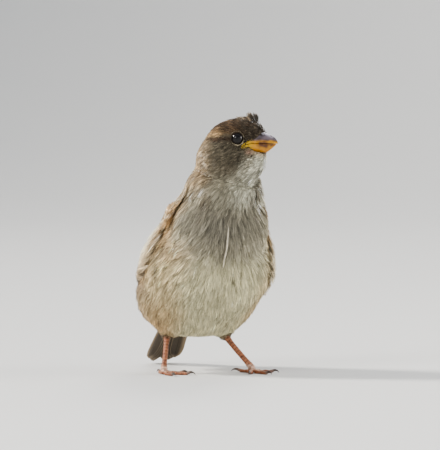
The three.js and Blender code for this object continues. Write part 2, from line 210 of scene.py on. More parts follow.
# Half sizes are given as across, back-to-belly (or top-to-bottom), along.
BODY_LOBES = [
    body_lobe((0, -1, 50), (30.5, 25, 27)),  # trunk
    body_lobe((1.5, -12, 70), (23, 20.5, 18)),  # breast
    body_lobe((1, -2.5, 71), (19.5, 17, 15), 58),  # mantle
    body_lobe((-2.2, 8.5, 37), (28.4, 20.8, 18), 40),  # belly
    body_lobe((-3, 24.5, 34), (21.5, 12, 18), 50),  # rump and vent
    body_lobe((0, 34, 31.5), (8.5, 5, 15), TAIL_PITCH),  # tail coverts
    body_lobe((0.5, -15, 86), (16.6, 15.5, 14), 70),  # neck
]
HEAD_LOBES = [
    head_lobe((-0.8, 0, 1.7), (11.2, 10.8, 11.6)),  # skull
    head_lobe((7.4, 0, 4.6), (6.4, 8.4, 10.0), -20),  # forehead
    head_lobe((8.4, 0, 1.6), (3.8, 4.4, 7.0)),  # face
    head_lobe((-7.5, 0, -6), (10.5, 10.3, 9), 60),  # nape
    head_lobe((7.4, 0, -8.4), (7.2, 6.2, 9.4), 20),  # throat
]
for sign in SIDES.values():
    HEAD_LOBES.append(head_lobe((-1.5, sign * 6.0, -4.2), (5.8, 7.2, 8.4)))  # cheek
    BODY_LOBES.append(body_lobe((sign * 13.5, 6, 32), (8, 9, 10), 70))  # thigh

# The directions that the flat sides of the face look in.
FACE_SIDES = [math.sin(FACE_TURN) * FORWARD + sign * math.cos(FACE_TURN) * LEFT for sign in SIDES.values()]

# The feathered ends of the legs: from hip to ankle, and the radius at each.
HIP_OVER_ANKLE = (0, 3, 13)
HIP_RADIUS = 5.4
ANKLE_RADIUS = 2.1
LEG_CONES = [(np.array(a) + HIP_OVER_ANKLE, np.array(a), HIP_RADIUS, ANKLE_RADIUS) for a in ANKLE.values()]


def lobe_height(points, lobe):
    """Signed distance to one lobe, and the direction in which it grows."""
    centre, axes, half = lobe
    q = ((points - centre) @ axes.T) / half
    share = np.sqrt(np.sum(q * q, axis=1)) + 1e-6
    steep = np.sqrt(np.sum((q / half) ** 2, axis=1)) + 1e-9
    share_slope = ((q / half) @ axes) / share[:, None]
    steep_slope = ((q / half**3) @ axes) / steep[:, None]
    slope = ((2 * share - 1) / steep)[:, None] * share_slope
    slope -= (share * (share - 1) / steep**2)[:, None] * steep_slope
    return share * (share - 1) / steep, slope


def cone_height(points, cone):
    """Signed distance to one leg cone, and the direction in which it grows."""
    start, end, start_radius, end_radius = cone
    line = end - start
    t = np.clip(((points - start) @ line) / (line @ line), 0, 1)
    off = points - start - t[:, None] * line
    far = np.linalg.norm(off, axis=1) + 1e-9
    return far - lerp(start_radius, end_radius, t), off / far[:, None]


def blended(forms, softness):
    """Forms joined, or cut by each other where the softness is negative, with a rounded corner."""
    weights = [np.exp(-distance / softness) for distance, _ in forms]
    total = sum(weights)
    pull = sum(weight[:, None] * slope for weight, (_, slope) in zip(weights, forms))
    return -softness * np.log(total), pull / total[:, None]


def plumage(points, softness=BLEND):
    """Signed distance to the plumage's outer form, negative inside, and the direction in which it grows."""
    whole_head = blended([lobe_height(points, lobe) for lobe in HEAD_LOBES], softness)
    away = points - HEAD_AT
    closing = [(away @ out - FACE_OUT, np.broadcast_to(out, points.shape)) for out in FACE_SIDES]
    forms = [blended([whole_head, *closing], -FACE_SOFT)]
    forms += [lobe_height(points, lobe) for lobe in BODY_LOBES]
    forms += [cone_height(points, cone) for cone in LEG_CONES]
    return blended(forms, softness)


NECK_TOP = np.array([2.0, -19.5, 91.2])
NECK_LINE = unit(np.array([0.16, -0.3, 0.94]))
CREASE_BLEND = 6.0
CREASE_START = 0.7
CREASE_MOST = 3.2
CREASE_WIDTH = 8.0


def crease_fill(points):
    """How much further out the coat lies in the crease under the head, where long feathers bridge it."""
    gain = plumage(points)[0] - plumage(points, CREASE_BLEND)[0]
    front = smooth(head_coordinates(points)[0], -8, 2)
    near = bell((points - NECK_TOP) @ NECK_LINE, 0, CREASE_WIDTH)
    return np.clip(gain - CREASE_START, 0, CREASE_MOST) * near * front


CHUNK = 60000


def settle(points, heights, steps=3):
    """Moves points straight up or down onto heights over the form. Also returns the form's normals there."""
    shape = points.shape
    flat = points.reshape(-1, 3).copy()
    heights = np.broadcast_to(heights, shape[:-1]).reshape(-1)
    normals = np.empty(flat.shape)
    for start in range(0, len(flat), CHUNK):
        part = slice(start, start + CHUNK)
        for _ in range(steps):
            height, slope = plumage(flat[part])
            flat[part] -= ((height - heights[part]) / dot(slope, slope))[:, None] * slope
        normals[part] = unit(slope)
    return flat.reshape(shape), normals.reshape(shape)


RAY_REACH = 60.0
RAY_HALVINGS = 22


def surface_on(starts, directions, heights):
    """Where rays from inside the form reach the given heights over it."""
    near = np.zeros(len(starts))
    far = np.full(len(starts), RAY_REACH)
    for _ in range(RAY_HALVINGS):
        middle = (near + far) / 2
        inside = plumage(starts + middle[:, None] * directions)[0] < heights
        near = np.where(inside, middle, near)
        far = np.where(inside, far, middle)
    return starts + ((near + far) / 2)[:, None] * directions


BILL_MIDDLE = in_head(14, 0, 3)
EYES = {name: in_head(EYE_PLACE[0], sign * EYE_PLACE[1], EYE_PLACE[2]) for name, sign in SIDES.items()}


def eye_distance(points):
    """How far each point is from the nearer eye's middle."""
    return np.min([np.linalg.norm(points - eye, axis=1) for eye in EYES.values()], axis=0)


def skull_distance(points):
    """How far each point is from the middle of the skull."""
    return np.linalg.norm(points - HEAD_AT, axis=1)


def bill_distance(points):
    """How far each point is from the middle of the bill's root."""
    return np.linalg.norm(points - BILL_MIDDLE, axis=1)


def ankle_distance(points):
    """How far each point is from the nearer ankle."""
    return np.min([np.linalg.norm(points - np.array(ankle), axis=1) for ankle in ANKLE.values()], axis=0)


def lores_edge(forward):
    """Height of the plumage's edge over the bill, seen from the side."""
    share = np.clip((forward - FACE_CORNER[0]) / (FACE_FRONT[0] - FACE_CORNER[0]), 0, 1)
    return lerp(FACE_CORNER[1], FACE_FRONT[1], share**1.7)


def chin_edge(forward):
    """Height of the plumage's edge under the bill, seen from the side."""
    share = (forward - FACE_CORNER[0]) / (FACE_FRONT[0] - FACE_CORNER[0])
    return lerp(FACE_CORNER[1], CHIN_LEVEL, smooth(share, 0.3, 0.62))


def bare_bill(points):
    """How far points are inside the room that the plumage leaves for the bill, negative outside it."""
    forward, _, up = head_coordinates(points)
    within = np.minimum(lores_edge(forward) - up, up - chin_edge(forward))
    return np.minimum(within, forward - FACE_CORNER[0])


def eye_shift():
    """From the bird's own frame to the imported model's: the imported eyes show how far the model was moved."""
    packed = [(low + high) / 2 * 1000 for low, high in (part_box(f"eye_{name}") for name in SIDES)]
    return np.mean([np.array(p) for p in packed], axis=0) - np.mean(list(EYES.values()), axis=0)


SHIFT = eye_shift()

# ------------------------------------------------------------------ making objects


def add_object(name, data):
    """An object in the scene that shows a mesh, a light or a camera."""
    thing = bpy.data.objects.new(name, data)
    bpy.context.scene.collection.objects.link(thing)
    return thing


def mesh_of(name, points, faces):
    """An object from points in millimetres and faces, each a tuple of point numbers."""
    mesh = bpy.data.meshes.new(name)
    rows = (np.asarray(points).reshape(-1, 3) + SHIFT) / 1000
    faces = np.asarray(faces)
    mesh.vertices.add(len(rows))
    mesh.vertices.foreach_set("co", rows.astype(np.float32).ravel())
    corners = faces.shape[1]
    mesh.loops.add(faces.size)
    mesh.loops.foreach_set("vertex_index", faces.astype(np.int32).ravel())
    mesh.polygons.add(len(faces))
    mesh.polygons.foreach_set("loop_start", np.arange(0, faces.size, corners, dtype=np.int32))
    mesh.polygons.foreach_set("use_smooth", np.ones(len(faces), bool))
    mesh.update(calc_edges=True)
    mesh.validate()
    return add_object(name, mesh)


def colour_points(thing, colours, name="tint"):
    """Stores a linear colour for each point of a mesh."""
    values = np.concatenate([np.clip(colours.reshape(-1, 3), 0, 1), np.ones((colours.size // 3, 1))], axis=1)
    attribute = thing.data.color_attributes.new(name, "FLOAT_COLOR", "POINT")
    attribute.data.foreach_set("color", values.astype(np.float32).ravel())


def map_points(thing, places, name="OFBake"):
    """A UV map from one place for each point."""
    corners = np.empty(len(thing.data.loops), np.int32)
    thing.data.loops.foreach_get("vertex_index", corners)
    layer = thing.data.uv_layers.new(name=name, do_init=False)
    layer.uv.foreach_set("vector", places.reshape(-1, 2)[corners].astype(np.float32).ravel())


def put(thing, slot, material, *nodes):
    """Lets a piece ride on the bird, in a material, in place of the named solids."""
    thing.data.materials.append(material)
    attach(thing, "root")
    if nodes:
        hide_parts(*nodes)


def melt(mesh, voxel):
    """Points in millimetres and quads of one closed skin over the shells in a mesh."""
    thing = add_object("melting", mesh)
    change = thing.modifiers.new("melt", "REMESH")
    change.mode = "VOXEL"
    change.voxel_size = voxel
    made = bpy.data.meshes.new_from_object(thing.evaluated_get(bpy.context.evaluated_depsgraph_get()))
    bpy.data.objects.remove(thing)
    bpy.data.meshes.remove(mesh)
    points = np.empty(len(made.vertices) * 3)
    made.vertices.foreach_get("co", points)
    faces = np.empty(len(made.polygons) * 4, int)
    made.loops.foreach_get("vertex_index", faces)
    bpy.data.meshes.remove(made)
    return points.reshape(-1, 3) * 1000, faces.reshape(-1, 4)


def grid_faces(rows, columns, closed=False, endless=False):
    """
    Quads of a grid of points, row after row. The last column is joined to the first if it is closed, and
    the last row to the first if it is endless.
    """
    counts = (rows if endless else rows - 1, columns if closed else columns - 1)
    k, i = np.meshgrid(np.arange(counts[0]), np.arange(counts[1]), indexing="ij")
    below, right = (k + 1) % rows, (i + 1) % columns
    corners = [k * columns + i, k * columns + right, below * columns + right, below * columns + i]
    return np.stack(corners, -1).reshape(-1, 4)


def tube_shell(rings, base=0):
    """Points and faces, numbered from base, of a closed tube through rings, with a fan at each end."""
    rows, columns = rings.shape[:2]
    points = np.concatenate([rings.reshape(-1, 3), [rings[0].mean(0), rings[-1].mean(0)]])
    faces = (grid_faces(rows, columns, closed=True) + base).tolist()
    first, last = base + rows * columns, base + rows * columns + 1
    last_row = base + (rows - 1) * columns
    for i in range(columns):
        j = (i + 1) % columns
        faces.append((first, base + j, base + i))
        faces.append((last, last_row + i, last_row + j))
    return points, faces


# ------------------------------------------------------------------ materials


class Shader:
    """A small builder of node materials around one Principled shader."""

    def __init__(self, name, **settings):
        self.material = bpy.data.materials.new(name)
        self.material.use_nodes = True
        self.nodes = self.material.node_tree.nodes
        self.links = self.material.node_tree.links
        self.main = self.nodes["Principled BSDF"]
        for socket, value in settings.items():
            self.main.inputs[socket.replace("_", " ")].default_value = value

    def node(self, kind, inputs=(), **properties):
        """A node with its properties, and its inputs set from numbers or other nodes' outputs."""
        made = self.nodes.new(kind)
        for name, value in properties.items():
            setattr(made, name, value)
        for key, value in dict(inputs).items():
            if isinstance(value, bpy.types.NodeSocket):
                self.links.new(value, made.inputs[key])
            else:
                made.inputs[key].default_value = value
        return made

    def math(self, operation, a, b=0.0):
        return self.node("ShaderNodeMath", {0: a, 1: b}, operation=operation).outputs[0]

    def noise(self, scale):
        inputs = {"Scale": scale, "Detail": 3.0, "Vector": self.position()}
        return self.node("ShaderNodeTexNoise", inputs).outputs["Fac"]

    def ramp(self, value, low, high, out_low=0.0, out_high=1.0):
        inputs = {"Value": value, "From Min": low, "From Max": high, "To Min": out_low, "To Max": out_high}
        return self.node("ShaderNodeMapRange", inputs).outputs["Result"]

    def blend(self, kind, factor, a, b):
        made = self.nodes.new("ShaderNodeMix")
        made.data_type = "RGBA"
        made.blend_type = kind
        for socket, value in (("Factor_Float", factor), ("A_Color", a), ("B_Color", b)):
            target = next(s for s in made.inputs if s.identifier == socket)
            if isinstance(value, bpy.types.NodeSocket):
                self.links.new(value, target)
            else:
                target.default_value = value
        return next(s for s in made.outputs if s.identifier == "Result_Color")

    def shade(self, colour, grey):
        """A colour made lighter or darker by a grey value."""
        together = self.node("ShaderNodeCombineColor", {0: grey, 1: grey, 2: grey}).outputs[0]
        return self.blend("MULTIPLY", 1.0, colour, together)

    def tint(self, name="tint"):
        return self.node("ShaderNodeVertexColor", layer_name=name).outputs["Color"]

    def position(self):
        return self.node("ShaderNodeTexCoord").outputs["Object"]

    def colour(self, value):
        self.links.new(value, self.main.inputs["Base Color"])

    def bump(self, height, depth, strength=1.0):
        made = self.node("ShaderNodeBump", {"Height": height, "Distance": depth, "Strength": strength})
        self.links.new(made.outputs["Normal"], self.main.inputs["Normal"])


def vary(shader, colour, scale, amount):
    """Makes a colour lighter and darker in blobs, by this share either way."""
    grey = shader.ramp(shader.noise(scale), 0.3, 0.7, 1 - amount, 1 + amount)
    return shader.shade(colour, grey)


def coat_material():
    """Soft feather barbs: matt, with a faint sheen and fine flecks."""
    shader = Shader("coat", Roughness=0.82, Sheen_Weight=0.12, Sheen_Roughness=0.5, Specular_IOR_Level=0.25)
    shader.colour(vary(shader, shader.tint(), 900, 0.1))
    return shader.material


def skin_material():
    """Skin and the bases of the feathers on it."""
    shader = Shader("skin", Roughness=0.9, Specular_IOR_Level=0.2)
    shader.colour(vary(shader, shader.tint(), 1300, 0.15))
    shader.bump(shader.noise(2600), 0.0001, 0.6)
    return shader.material


SHAFT_DARK = (0.03, 0.02, 0.015, 1)  # linear


def vane_material():
    """Stiff feathers: a dark shaft, fine slanting barbs and an edge in its own colour."""
    shader = Shader("vane", Roughness=0.62, Sheen_Weight=0.1, Specular_IOR_Level=0.35)
    place = shader.node("ShaderNodeUVMap", uv_map="Vane").outputs["UV"]
    parts = shader.node("ShaderNodeSeparateXYZ", {0: place}).outputs
    across = shader.math("ABSOLUTE", parts[0])
    slant = shader.math("SUBTRACT", parts[1], across)
    waver = shader.ramp(shader.noise(1400), 0.3, 0.7, -0.5, 0.5)
    lines = shader.math("SINE", shader.math("ADD", shader.math("MULTIPLY", slant, 9.0), waver))
    edge = shader.tint("edge")
    body = shader.tint("tint")
    share = shader.node("ShaderNodeAttribute", attribute_name="edge_share").outputs["Fac"]
    colour = shader.blend("MIX", share, body, edge)
    grey = shader.ramp(lines, -1, 1, 0.84, 1.08)
    colour = shader.shade(colour, grey)
    shaft = shader.ramp(across, 0.1, 0.22, 0.55, 0.0)
    shader.colour(shader.blend("MIX", shaft, colour, SHAFT_DARK))
    shader.bump(lines, 0.00006, 0.8)
    return shader.material


def horn_material(name, roughness):
    """Smooth horn with fine growth lines."""
    shader = Shader(name, Roughness=roughness, Specular_IOR_Level=0.5, Coat_Weight=0.25, Coat_Roughness=0.2)
    shader.colour(vary(shader, shader.tint(), 700, 0.12))
    shader.bump(shader.noise(1100), 0.00005, 0.5)
    return shader.material


def eye_material():
    """A dark wet eye: brown iris round a black pupil."""
    shader = Shader("eye", Roughness=0.06, Specular_IOR_Level=0.3, Coat_Weight=0.2, Coat_Roughness=0.03)
    shader.colour(vary(shader, shader.tint(), 1800, 0.25))
    return shader.material


def leg_material():
    """Scaled skin of the legs: pink orange, with fine creases."""
    under = {"Subsurface_Weight": 0.12, "Subsurface_Scale": 0.001}
    shader = Shader("leg", Roughness=0.5, Specular_IOR_Level=0.45, **under)
    shader.colour(vary(shader, shader.tint(), 800, 0.16))
    inputs = {"Scale": 1700, "Vector": shader.position()}
    cells = shader.node("ShaderNodeTexVoronoi", inputs, feature="DISTANCE_TO_EDGE")
    shader.bump(shader.ramp(cells.outputs["Distance"], 0, 0.12), 0.00008, 0.6)
    return shader.material


# ------------------------------------------------------------------ the bird's colours

CREAM = srgb(198, 192, 160)
BUFF = srgb(184, 164, 128)
TAN = srgb(184, 152, 110)
GREY_BUFF = srgb(164, 158, 138)
BREAST_GREY = srgb(114, 110, 99)
THROAT = srgb(196, 195, 178)
CHEEK = srgb(98, 91, 77)
CROWN = srgb(106, 86, 65)
DARK_BROWN = srgb(58, 42, 30)
FACE_DARK = srgb(72, 65, 54)
EYE_LINE = srgb(60, 44, 32)
BROW = srgb(172, 143, 104)
CREST_PALE = srgb(158, 142, 120)
GAPE_SKIN = srgb(176, 140, 122)
NECK_WHITE = srgb(236, 226, 208)
FLANK_WHITE = srgb(222, 210, 186)
ANKLE_BROWN = srgb(128, 106, 80)
NAPE = srgb(178, 155, 122)
RUMP = srgb(146, 128, 104)
MANTLE_BUFF = srgb(186, 152, 108)
WING_DARK = srgb(70, 56, 45)
WING_EDGE = srgb(184, 146, 102)
COVERT_TIP = srgb(224, 211, 188)
TAIL_DARK = srgb(84, 74, 60)
TAIL_EDGE = srgb(168, 148, 120)
DOWN = srgb(88, 84, 78)


def head_colour(points):
    """The markings of the head."""
    forward, sideways, up = head_coordinates(points)
    side = np.abs(sideways)
    mottle = noise(points, 1.6)
    colour = mix(NAPE, CHEEK, smooth(forward + 1.5 * mottle, -13, -1) * smooth(side, 2, 6))
    colour = mix(colour, GREY_BUFF * 0.85, 0.85 * smooth(-up + 0.5 * mottle, 7, 14) * smooth(forward, -8, 0))
    neck_spots = bell(forward, -8.2, 2.2) * bell(up, -2.6, 3.4) * smooth(side, 4, 8)
    colour = mix(colour, NECK_WHITE, 0.8 * neck_spots * smooth(noise(points, 1.2), -0.1, 0.3))
    throat_start = 12.3 + 0.4 * np.clip(up + 4, -14, 0)
    throat = smooth(forward - throat_start + 1.5 * mottle, -6, 4.5) * smooth(-up, 0.4, 4.4)
    colour = mix(colour, THROAT, throat)
    top = smooth(up + 0.16 * forward, 5.8, 8.0)
    dark_crown = CROWN * (1 - 0.45 * smooth(noise(points, 1.3), -0.05, 0.35))[:, None]
    colour = mix(colour, dark_crown, top * smooth(forward, -15, -9))
    brow = bell(up, 7.2 - 0.12 * forward, 1.6) * smooth(forward, -13, -8) * (1 - smooth(forward, -1.5, 3.0))
    colour = mix(colour, BROW, 0.9 * brow * smooth(side, 3.5, 6.0))
    line = bell(up, 4.7 - 0.1 * forward, 0.9) * smooth(forward, -9.5, -6) * (1 - smooth(forward, 3.5, 4.5))
    colour = mix(colour, EYE_LINE, 0.92 * line * smooth(side, 5, 8))
    mask = smooth(forward + 0.25 * up + 1.6 * mottle, 6.0, 12.5)
    mask = mask * smooth(up - 0.55 * (forward - 9), -0.6, 1.4)
    colour = mix(colour, FACE_DARK * (1 + 0.6 * noise(points, 0.9))[:, None], 0.9 * mask)
    lores = bell(forward, 9.5, 2.6) * bell(up, 2.8 + 0.5 * (forward - 9), 1.4)
    colour = mix(colour, FACE_DARK * 0.7, 0.8 * np.clip(lores, 0, 1) * smooth(side, 2.5, 5))
    gape = bell(forward, 11.2, 1.3) * bell(up, -1.5, 0.9) * smooth(side, 2, 4)
    colour = mix(colour, GAPE_SKIN, 0.7 * gape)
    chin_spot = bell(forward, 12.4, 0.6) * bell(up, -3.3, 0.7) * smooth(side, 1, 3)
    colour = mix(colour, DARK_BROWN * 0.5, 1.3 * chin_spot)
    return colour * (1 + 0.22 * mottle)[:, None]


PARTING_TOP = (-1.6, 72.0)
PARTING_END = (-3.2, 44.0)


def parting(points):
    """Distance sideways from the line where the breast feathers part, and how much it shows there."""
    x, y, z = points.T
    share = (PARTING_TOP[1] - z) / (PARTING_TOP[1] - PARTING_END[1])
    line = lerp(PARTING_TOP[0], PARTING_END[0], np.clip(share, 0, 1))
    shown = smooth(share, -0.06, 0.04) * (1 - smooth(share, 0.5, 1.05)) * (y < -10)
    return x - line, shown


def body_colour(points, normals):
    """The markings of neck and trunk."""
    x, y, z = points.T
    front = smooth(-normals[:, 1], -0.25, 0.55)
    side = smooth(np.abs(x), 11, 23)
    colour = mix(CREAM, BUFF, 0.7 * side)
    colour = mix(colour, TAN, side * (1 - smooth(z, 30, 46)) * 0.7)
    colour = mix(colour, GREY_BUFF, smooth(z, 54, 66) * (1 - 0.6 * side))
    grey = smooth(z - 0.2 * np.abs(x + 3) + 1.5 * noise(points, 6.0), 59, 76) * bell(x, -2, 14)
    grey = grey * (1 - 0.6 * smooth(z, 78, 92))
    colour = mix(colour, BREAST_GREY, grey * 0.85)
    colour = mix(colour, THROAT * 0.94, smooth(z, 84, 93) * bell(x, 6, 10))
    colour = mix(colour, TAN, 0.45 * bell(x, -17, 5) * bell(z, 62, 7))
    colour = mix(colour, ANKLE_BROWN, 0.75 * (1 - smooth(ankle_distance(points), 3, 9)))
    below = smooth(-normals[:, 2], 0.3, 0.8)
    colour = mix(colour, BUFF, 0.4 * below * smooth(y, 14, 28))
    back = mix(RUMP, MANTLE_BUFF, smooth(z, 48, 58))
    back = mix(back, NAPE, smooth(z, 82, 90))
    colour = mix(back, colour, front)
    return colour * (1 + 0.14 * noise(points, 2.4))[:, None]


def coat_colour(points, normals):
    """The markings of the whole bird, for skin and feathers alike."""
    share = smooth((points - NECK_TOP) @ NECK_LINE, -5, 5)
    colour = mix(body_colour(points, normals), head_colour(points), share)
    blotch = 0.1 * noise(points, 9.0) + 0.06 * noise(points, 3.5)
    return colour * (1 + blotch[:, None])


# ------------------------------------------------------------------ skin


ROOM_DEPTH = 2.7


def gape_sink(points):
    """How far the plumage sinks towards the bill at the corner of the mouth."""
    forward = head_coordinates(points)[0]
    return 1.0 * smooth(bare_bill(points), -3.0, -0.3) * (1 - smooth(forward, 10.5, 14.5))


def coat_depth(points):
    """How far the skin lies under the plumage's outer form."""
    depth = lerp(1.3, 3.0, smooth(skull_distance(points), 14, 30)) - crease_fill(points)
    depth = depth * lerp(0.5, 1, smooth(bill_distance(points), 5, 12))
    depth = depth * lerp(0.42, 1, smooth(eye_distance(points), 3.3, 6))
    depth = depth * lerp(0.3, 1, smooth(ankle_distance(points), 3, 12)) + gape_sink(points)
    return lerp(depth, ROOM_DEPTH, smooth(bare_bill(points), -0.2, 0.5))


SKIN_VOXEL = 0.0008
ROUGH_SHARE = 0.93  # how large the rough lobes are, by the true ones


def rough_body():
    """Closed shells near the form: its lobes and leg cones."""
    shapes = bmesh.new()
    for centre, axes, half in BODY_LOBES + HEAD_LOBES:
        turn = Matrix(np.array(axes).T.tolist()).to_4x4()
        size = Matrix.Diagonal((*(half * ROUGH_SHARE / 1000), 1))
        place = Matrix.Translation(centre / 1000) @ turn @ size
        bmesh.ops.create_icosphere(shapes, subdivisions=4, radius=1, matrix=place)
    for start, end, start_radius, end_radius in LEG_CONES:
        turn = Vector(end - start).to_track_quat("Z", "Y").to_matrix().to_4x4()
        place = Matrix.Translation((start + end) / 2000) @ turn
        radii = {"radius1": start_radius / 1000, "radius2": end_radius / 1000}
        length = np.linalg.norm(end - start) / 1000
        bmesh.ops.create_cone(shapes, cap_ends=True, segments=32, depth=length, matrix=place, **radii)
    mesh = bpy.data.meshes.new("rough")
    shapes.to_mesh(mesh)
    shapes.free()
    return mesh


def make_skin():
    """The one skin under the coat, as points, normals and faces."""
    points, faces = melt(rough_body(), SKIN_VOXEL)
    points, normals = settle(points, -coat_depth(points), steps=5)
    return points, normals, faces


# ------------------------------------------------------------------ feathers of the coat

# The line that the feathers lie along, from the bill over head, neck and body to the tail.
SPINE = np.array(
    [in_head(20, 0, 1), in_head(8, 0, 1), in_head(-4, 0, -2)]
    + [(-1, -15.5, 90), (0, -8, 72), (-1, 6, 50), (0, 26, 35), (0, 60, 5)]
)
SPINE_REACH = 13.0


def flow_at(points, normals):
    """The direction in which the feathers lie at points on the form."""
    middles = (SPINE[1:] + SPINE[:-1]) / 2
    steps = unit(SPINE[1:] - SPINE[:-1])
    weight = np.exp(-np.sum((points[:, None] - middles) ** 2, axis=2) / (2 * SPINE_REACH**2))
    lie = unit((weight + 1e-9) @ steps)
    spread = 0.048 * (points[:, 0] + 1) * bell(points[:, 2], 66, 16) * smooth(-normals[:, 1], 0, 0.6)
    lie = lie + spread[:, None] * np.array([1.0, 0, 0])
    for eye in EYES.values():
        away = along_form(points - eye, normals)
        lie = lie + 1.6 * (1 - smooth(np.linalg.norm(points - eye, axis=1), 3.0, 5.5))[:, None] * away
    return along_form(lie, normals)


CROWDING = 5  # places tried for each that there is about room for


def sample_skin(points, faces, spacing, seed):
    """Places spread evenly at random over the skin, about as far apart as spacing(points) says."""
    random = np.random.default_rng(seed)
    triangles = np.concatenate([faces[:, [0, 1, 2]], faces[:, [0, 2, 3]]])
    a, b, c = (points[triangles[:, i]] for i in range(3))
    area = np.linalg.norm(np.cross(b - a, c - a), axis=1) / 2
    want = area / spacing((a + b + c) / 3) ** 2 * CROWDING
    count = random.poisson(want)
    chosen = np.repeat(np.arange(len(triangles)), count)
    u, v = random.random((2, len(chosen)))
    u, v = np.where(u + v > 1, 1 - u, u), np.where(u + v > 1, 1 - v, v)
    spots = a[chosen] + u[:, None] * (b - a)[chosen] + v[:, None] * (c - a)[chosen]
    spots = spots[random.permutation(len(spots))]
    reach = spacing(spots)
    tree = KDTree(len(spots))
    for i, spot in enumerate(spots):
        tree.insert(spot, i)
    tree.balance()
    free = np.ones(len(spots), bool)
    kept = []
    for i, spot in enumerate(spots):
        if not free[i]:
            continue
        kept.append(i)
        for _, j, _ in tree.find_range(spot, reach[i]):
            free[j] = False
    return spots[kept]


def octahedral(directions):
    """Places on a square for directions all round: the sphere's own unwrap."""
    d = directions / np.sum(np.abs(directions), axis=1, keepdims=True)
    fold = (1 - np.abs(d[:, [1, 0]])) * np.where(d[:, :2] >= 0, 1, -1)
    flat = np.where(d[:, 2:] >= 0, d[:, :2], fold)
    return flat / 2 + 0.5


PATCH = 0.003
BARB_SECTIONS = np.array([0.0, 0.42, 0.78, 1.0])  # shares along a barb, from its root to its tip
BARB_WIDTHS = np.array([0.8, 1.15, 0.8, 0.12])  # half a barb's width there, by an even share of the feather's
STRAND_BARBS = 3  # barbs that cling together and share one shade


def flock(spots, lie, normals, length, **more):
    """
    Feathers to grow: where each starts, the way it lies, the form's normal there and its length in mm,
    and its width, the heights over the form of its root and its tip, how ruffled it is, its colour, how
    dark a streak it has along its middle and how unlike its strands are.
    """
    made = {"spots": spots, "lie": lie, "normals": normals, "length": length, "width": length * 0.27}
    made |= {"root": -0.95 * coat_depth(spots), "tip": 0.1, "ruffle": 1.0, "streak": 0.0, "fleck": 0.25}
    made |= {"colour": coat_colour(spots, normals), **more}
    return {key: np.full(len(spots), value) if np.ndim(value) == 0 else value for key, value in made.items()}


def barb_lines(feathers, barbs, random):
    """The middle line of every barb, the form's normals along it, and its places across and along."""
    spots, lie, normals = feathers["spots"], feathers["lie"], feathers["normals"]
    length, width, ruffle = (feathers[key][:, None, None] for key in ("length", "width", "ruffle"))
    each = (len(spots), barbs, 1)
    rank = np.clip(np.linspace(-1, 1, barbs)[None, :, None] + random.normal(0, 0.5 / barbs, each), -1, 1)
    first = 0.72 - 0.66 * np.abs(rank)
    last = 1 - 0.34 * np.abs(rank) ** 2.2 + random.normal(0, 0.05, each) * ruffle
    u = BARB_SECTIONS[None, None, :]
    along = first + (last - first) * u
    across = rank * (1 - (1 - u) ** 1.7)
    bend = random.normal(0, 0.12, each) * ruffle * u**2
    reach = (along * length)[..., None] * lie[:, None, None]
    spread = ((across + bend) * width)[..., None] * np.cross(normals, lie)[:, None, None]
    stray = random.normal(0, 0.1, each) * ruffle
    tip = feathers["tip"][:, None, None] + stray - 0.12 * rank**2
    heights = lerp(feathers["root"][:, None, None], tip, np.clip(along, 0, 1.1) ** 0.5)
    return *settle(spots[:, None, None] + reach + spread, heights, steps=2), across, along


def grow(feathers, barbs, seed):
    """
    Feathers as fans of tapered barbs that lie along the form. Returns points, faces, and for each point
    its feather, how far across it (-1 to 1) and how far along (0 to 1) it is.
    """
    random = np.random.default_rng(seed)
    centres, up, across, along = barb_lines(feathers, barbs, random)
    count, sections = len(centres), len(BARB_SECTIONS)
    aside = unit(np.cross(up, np.gradient(centres, axis=2)))
    roll = random.normal(0, 0.45, (count, barbs, 1, 1))
    aside = aside * np.cos(roll) + up * np.sin(roll)
    half = aside * (feathers["width"][:, None, None] / barbs * BARB_WIDTHS)[..., None]
    points = np.stack([centres - half, centres + half], axis=3)
    start = (np.arange(count * barbs) * 2 * sections)[:, None, None]
    rows = np.arange(sections - 1)[None, :, None] * 2
    faces = (start + rows + np.array([0, 1, 3, 2])[None, None, :]).reshape(-1, 4)
    shape = (count, barbs, sections, 2)
    feather = np.broadcast_to(np.arange(count)[:, None, None, None], shape)
    edge = np.broadcast_to(across[..., None], shape)
    way = np.broadcast_to(along[..., None], shape)
    return points.reshape(-1, 3), faces, feather.ravel(), edge.ravel(), way.ravel()


def feather_places(spots, centre, feather, edge, way):
    """The coat's map: each feather is a small patch, placed by its root's direction from the centre."""
    roots = octahedral(unit(spots - centre))
    low, high = roots.min(0), roots.max(0)
    roots = 0.02 + 0.96 * (roots - low) / (high - low)
    return roots[feather] + PATCH * np.stack([edge / 2, way - 0.5], axis=1)


def feather_tints(feathers, feather, edge, way, seed):
    """Colours of the barbs: the markings, dark streaks along the middle, grey down and fine strands."""
    random = np.random.default_rng(seed)
    colour, streak, fleck = feathers["colour"], feathers["streak"], feathers["fleck"]
    tint = (colour * np.exp(random.normal(0, 0.9, len(colour)) * fleck**2)[:, None])[feather]
    middle = (1 - smooth(np.abs(edge), 0.15, 0.6)) * smooth(way, 0.1, 0.4) * (1 - 0.55 * smooth(way, 0.88, 1))
    tint = mix(tint, DARK_BROWN, streak[feather] * middle)
    tint = mix(tint, DOWN * 0.8, 0.3 * (1 - smooth(way, 0.2, 0.55)))
    strand = np.arange(len(edge)) // (2 * len(BARB_SECTIONS) * STRAND_BARBS)
    shade = random.normal(0, 1, strand[-1] + 1)[strand] * fleck[feather]
    return tint * (np.exp(shade) * lerp(0.94, 1.08, smooth(way, 0.5, 1.0)))[:, None]


TRUNK_CENTRE = np.array([0.0, 0.0, 50.0])

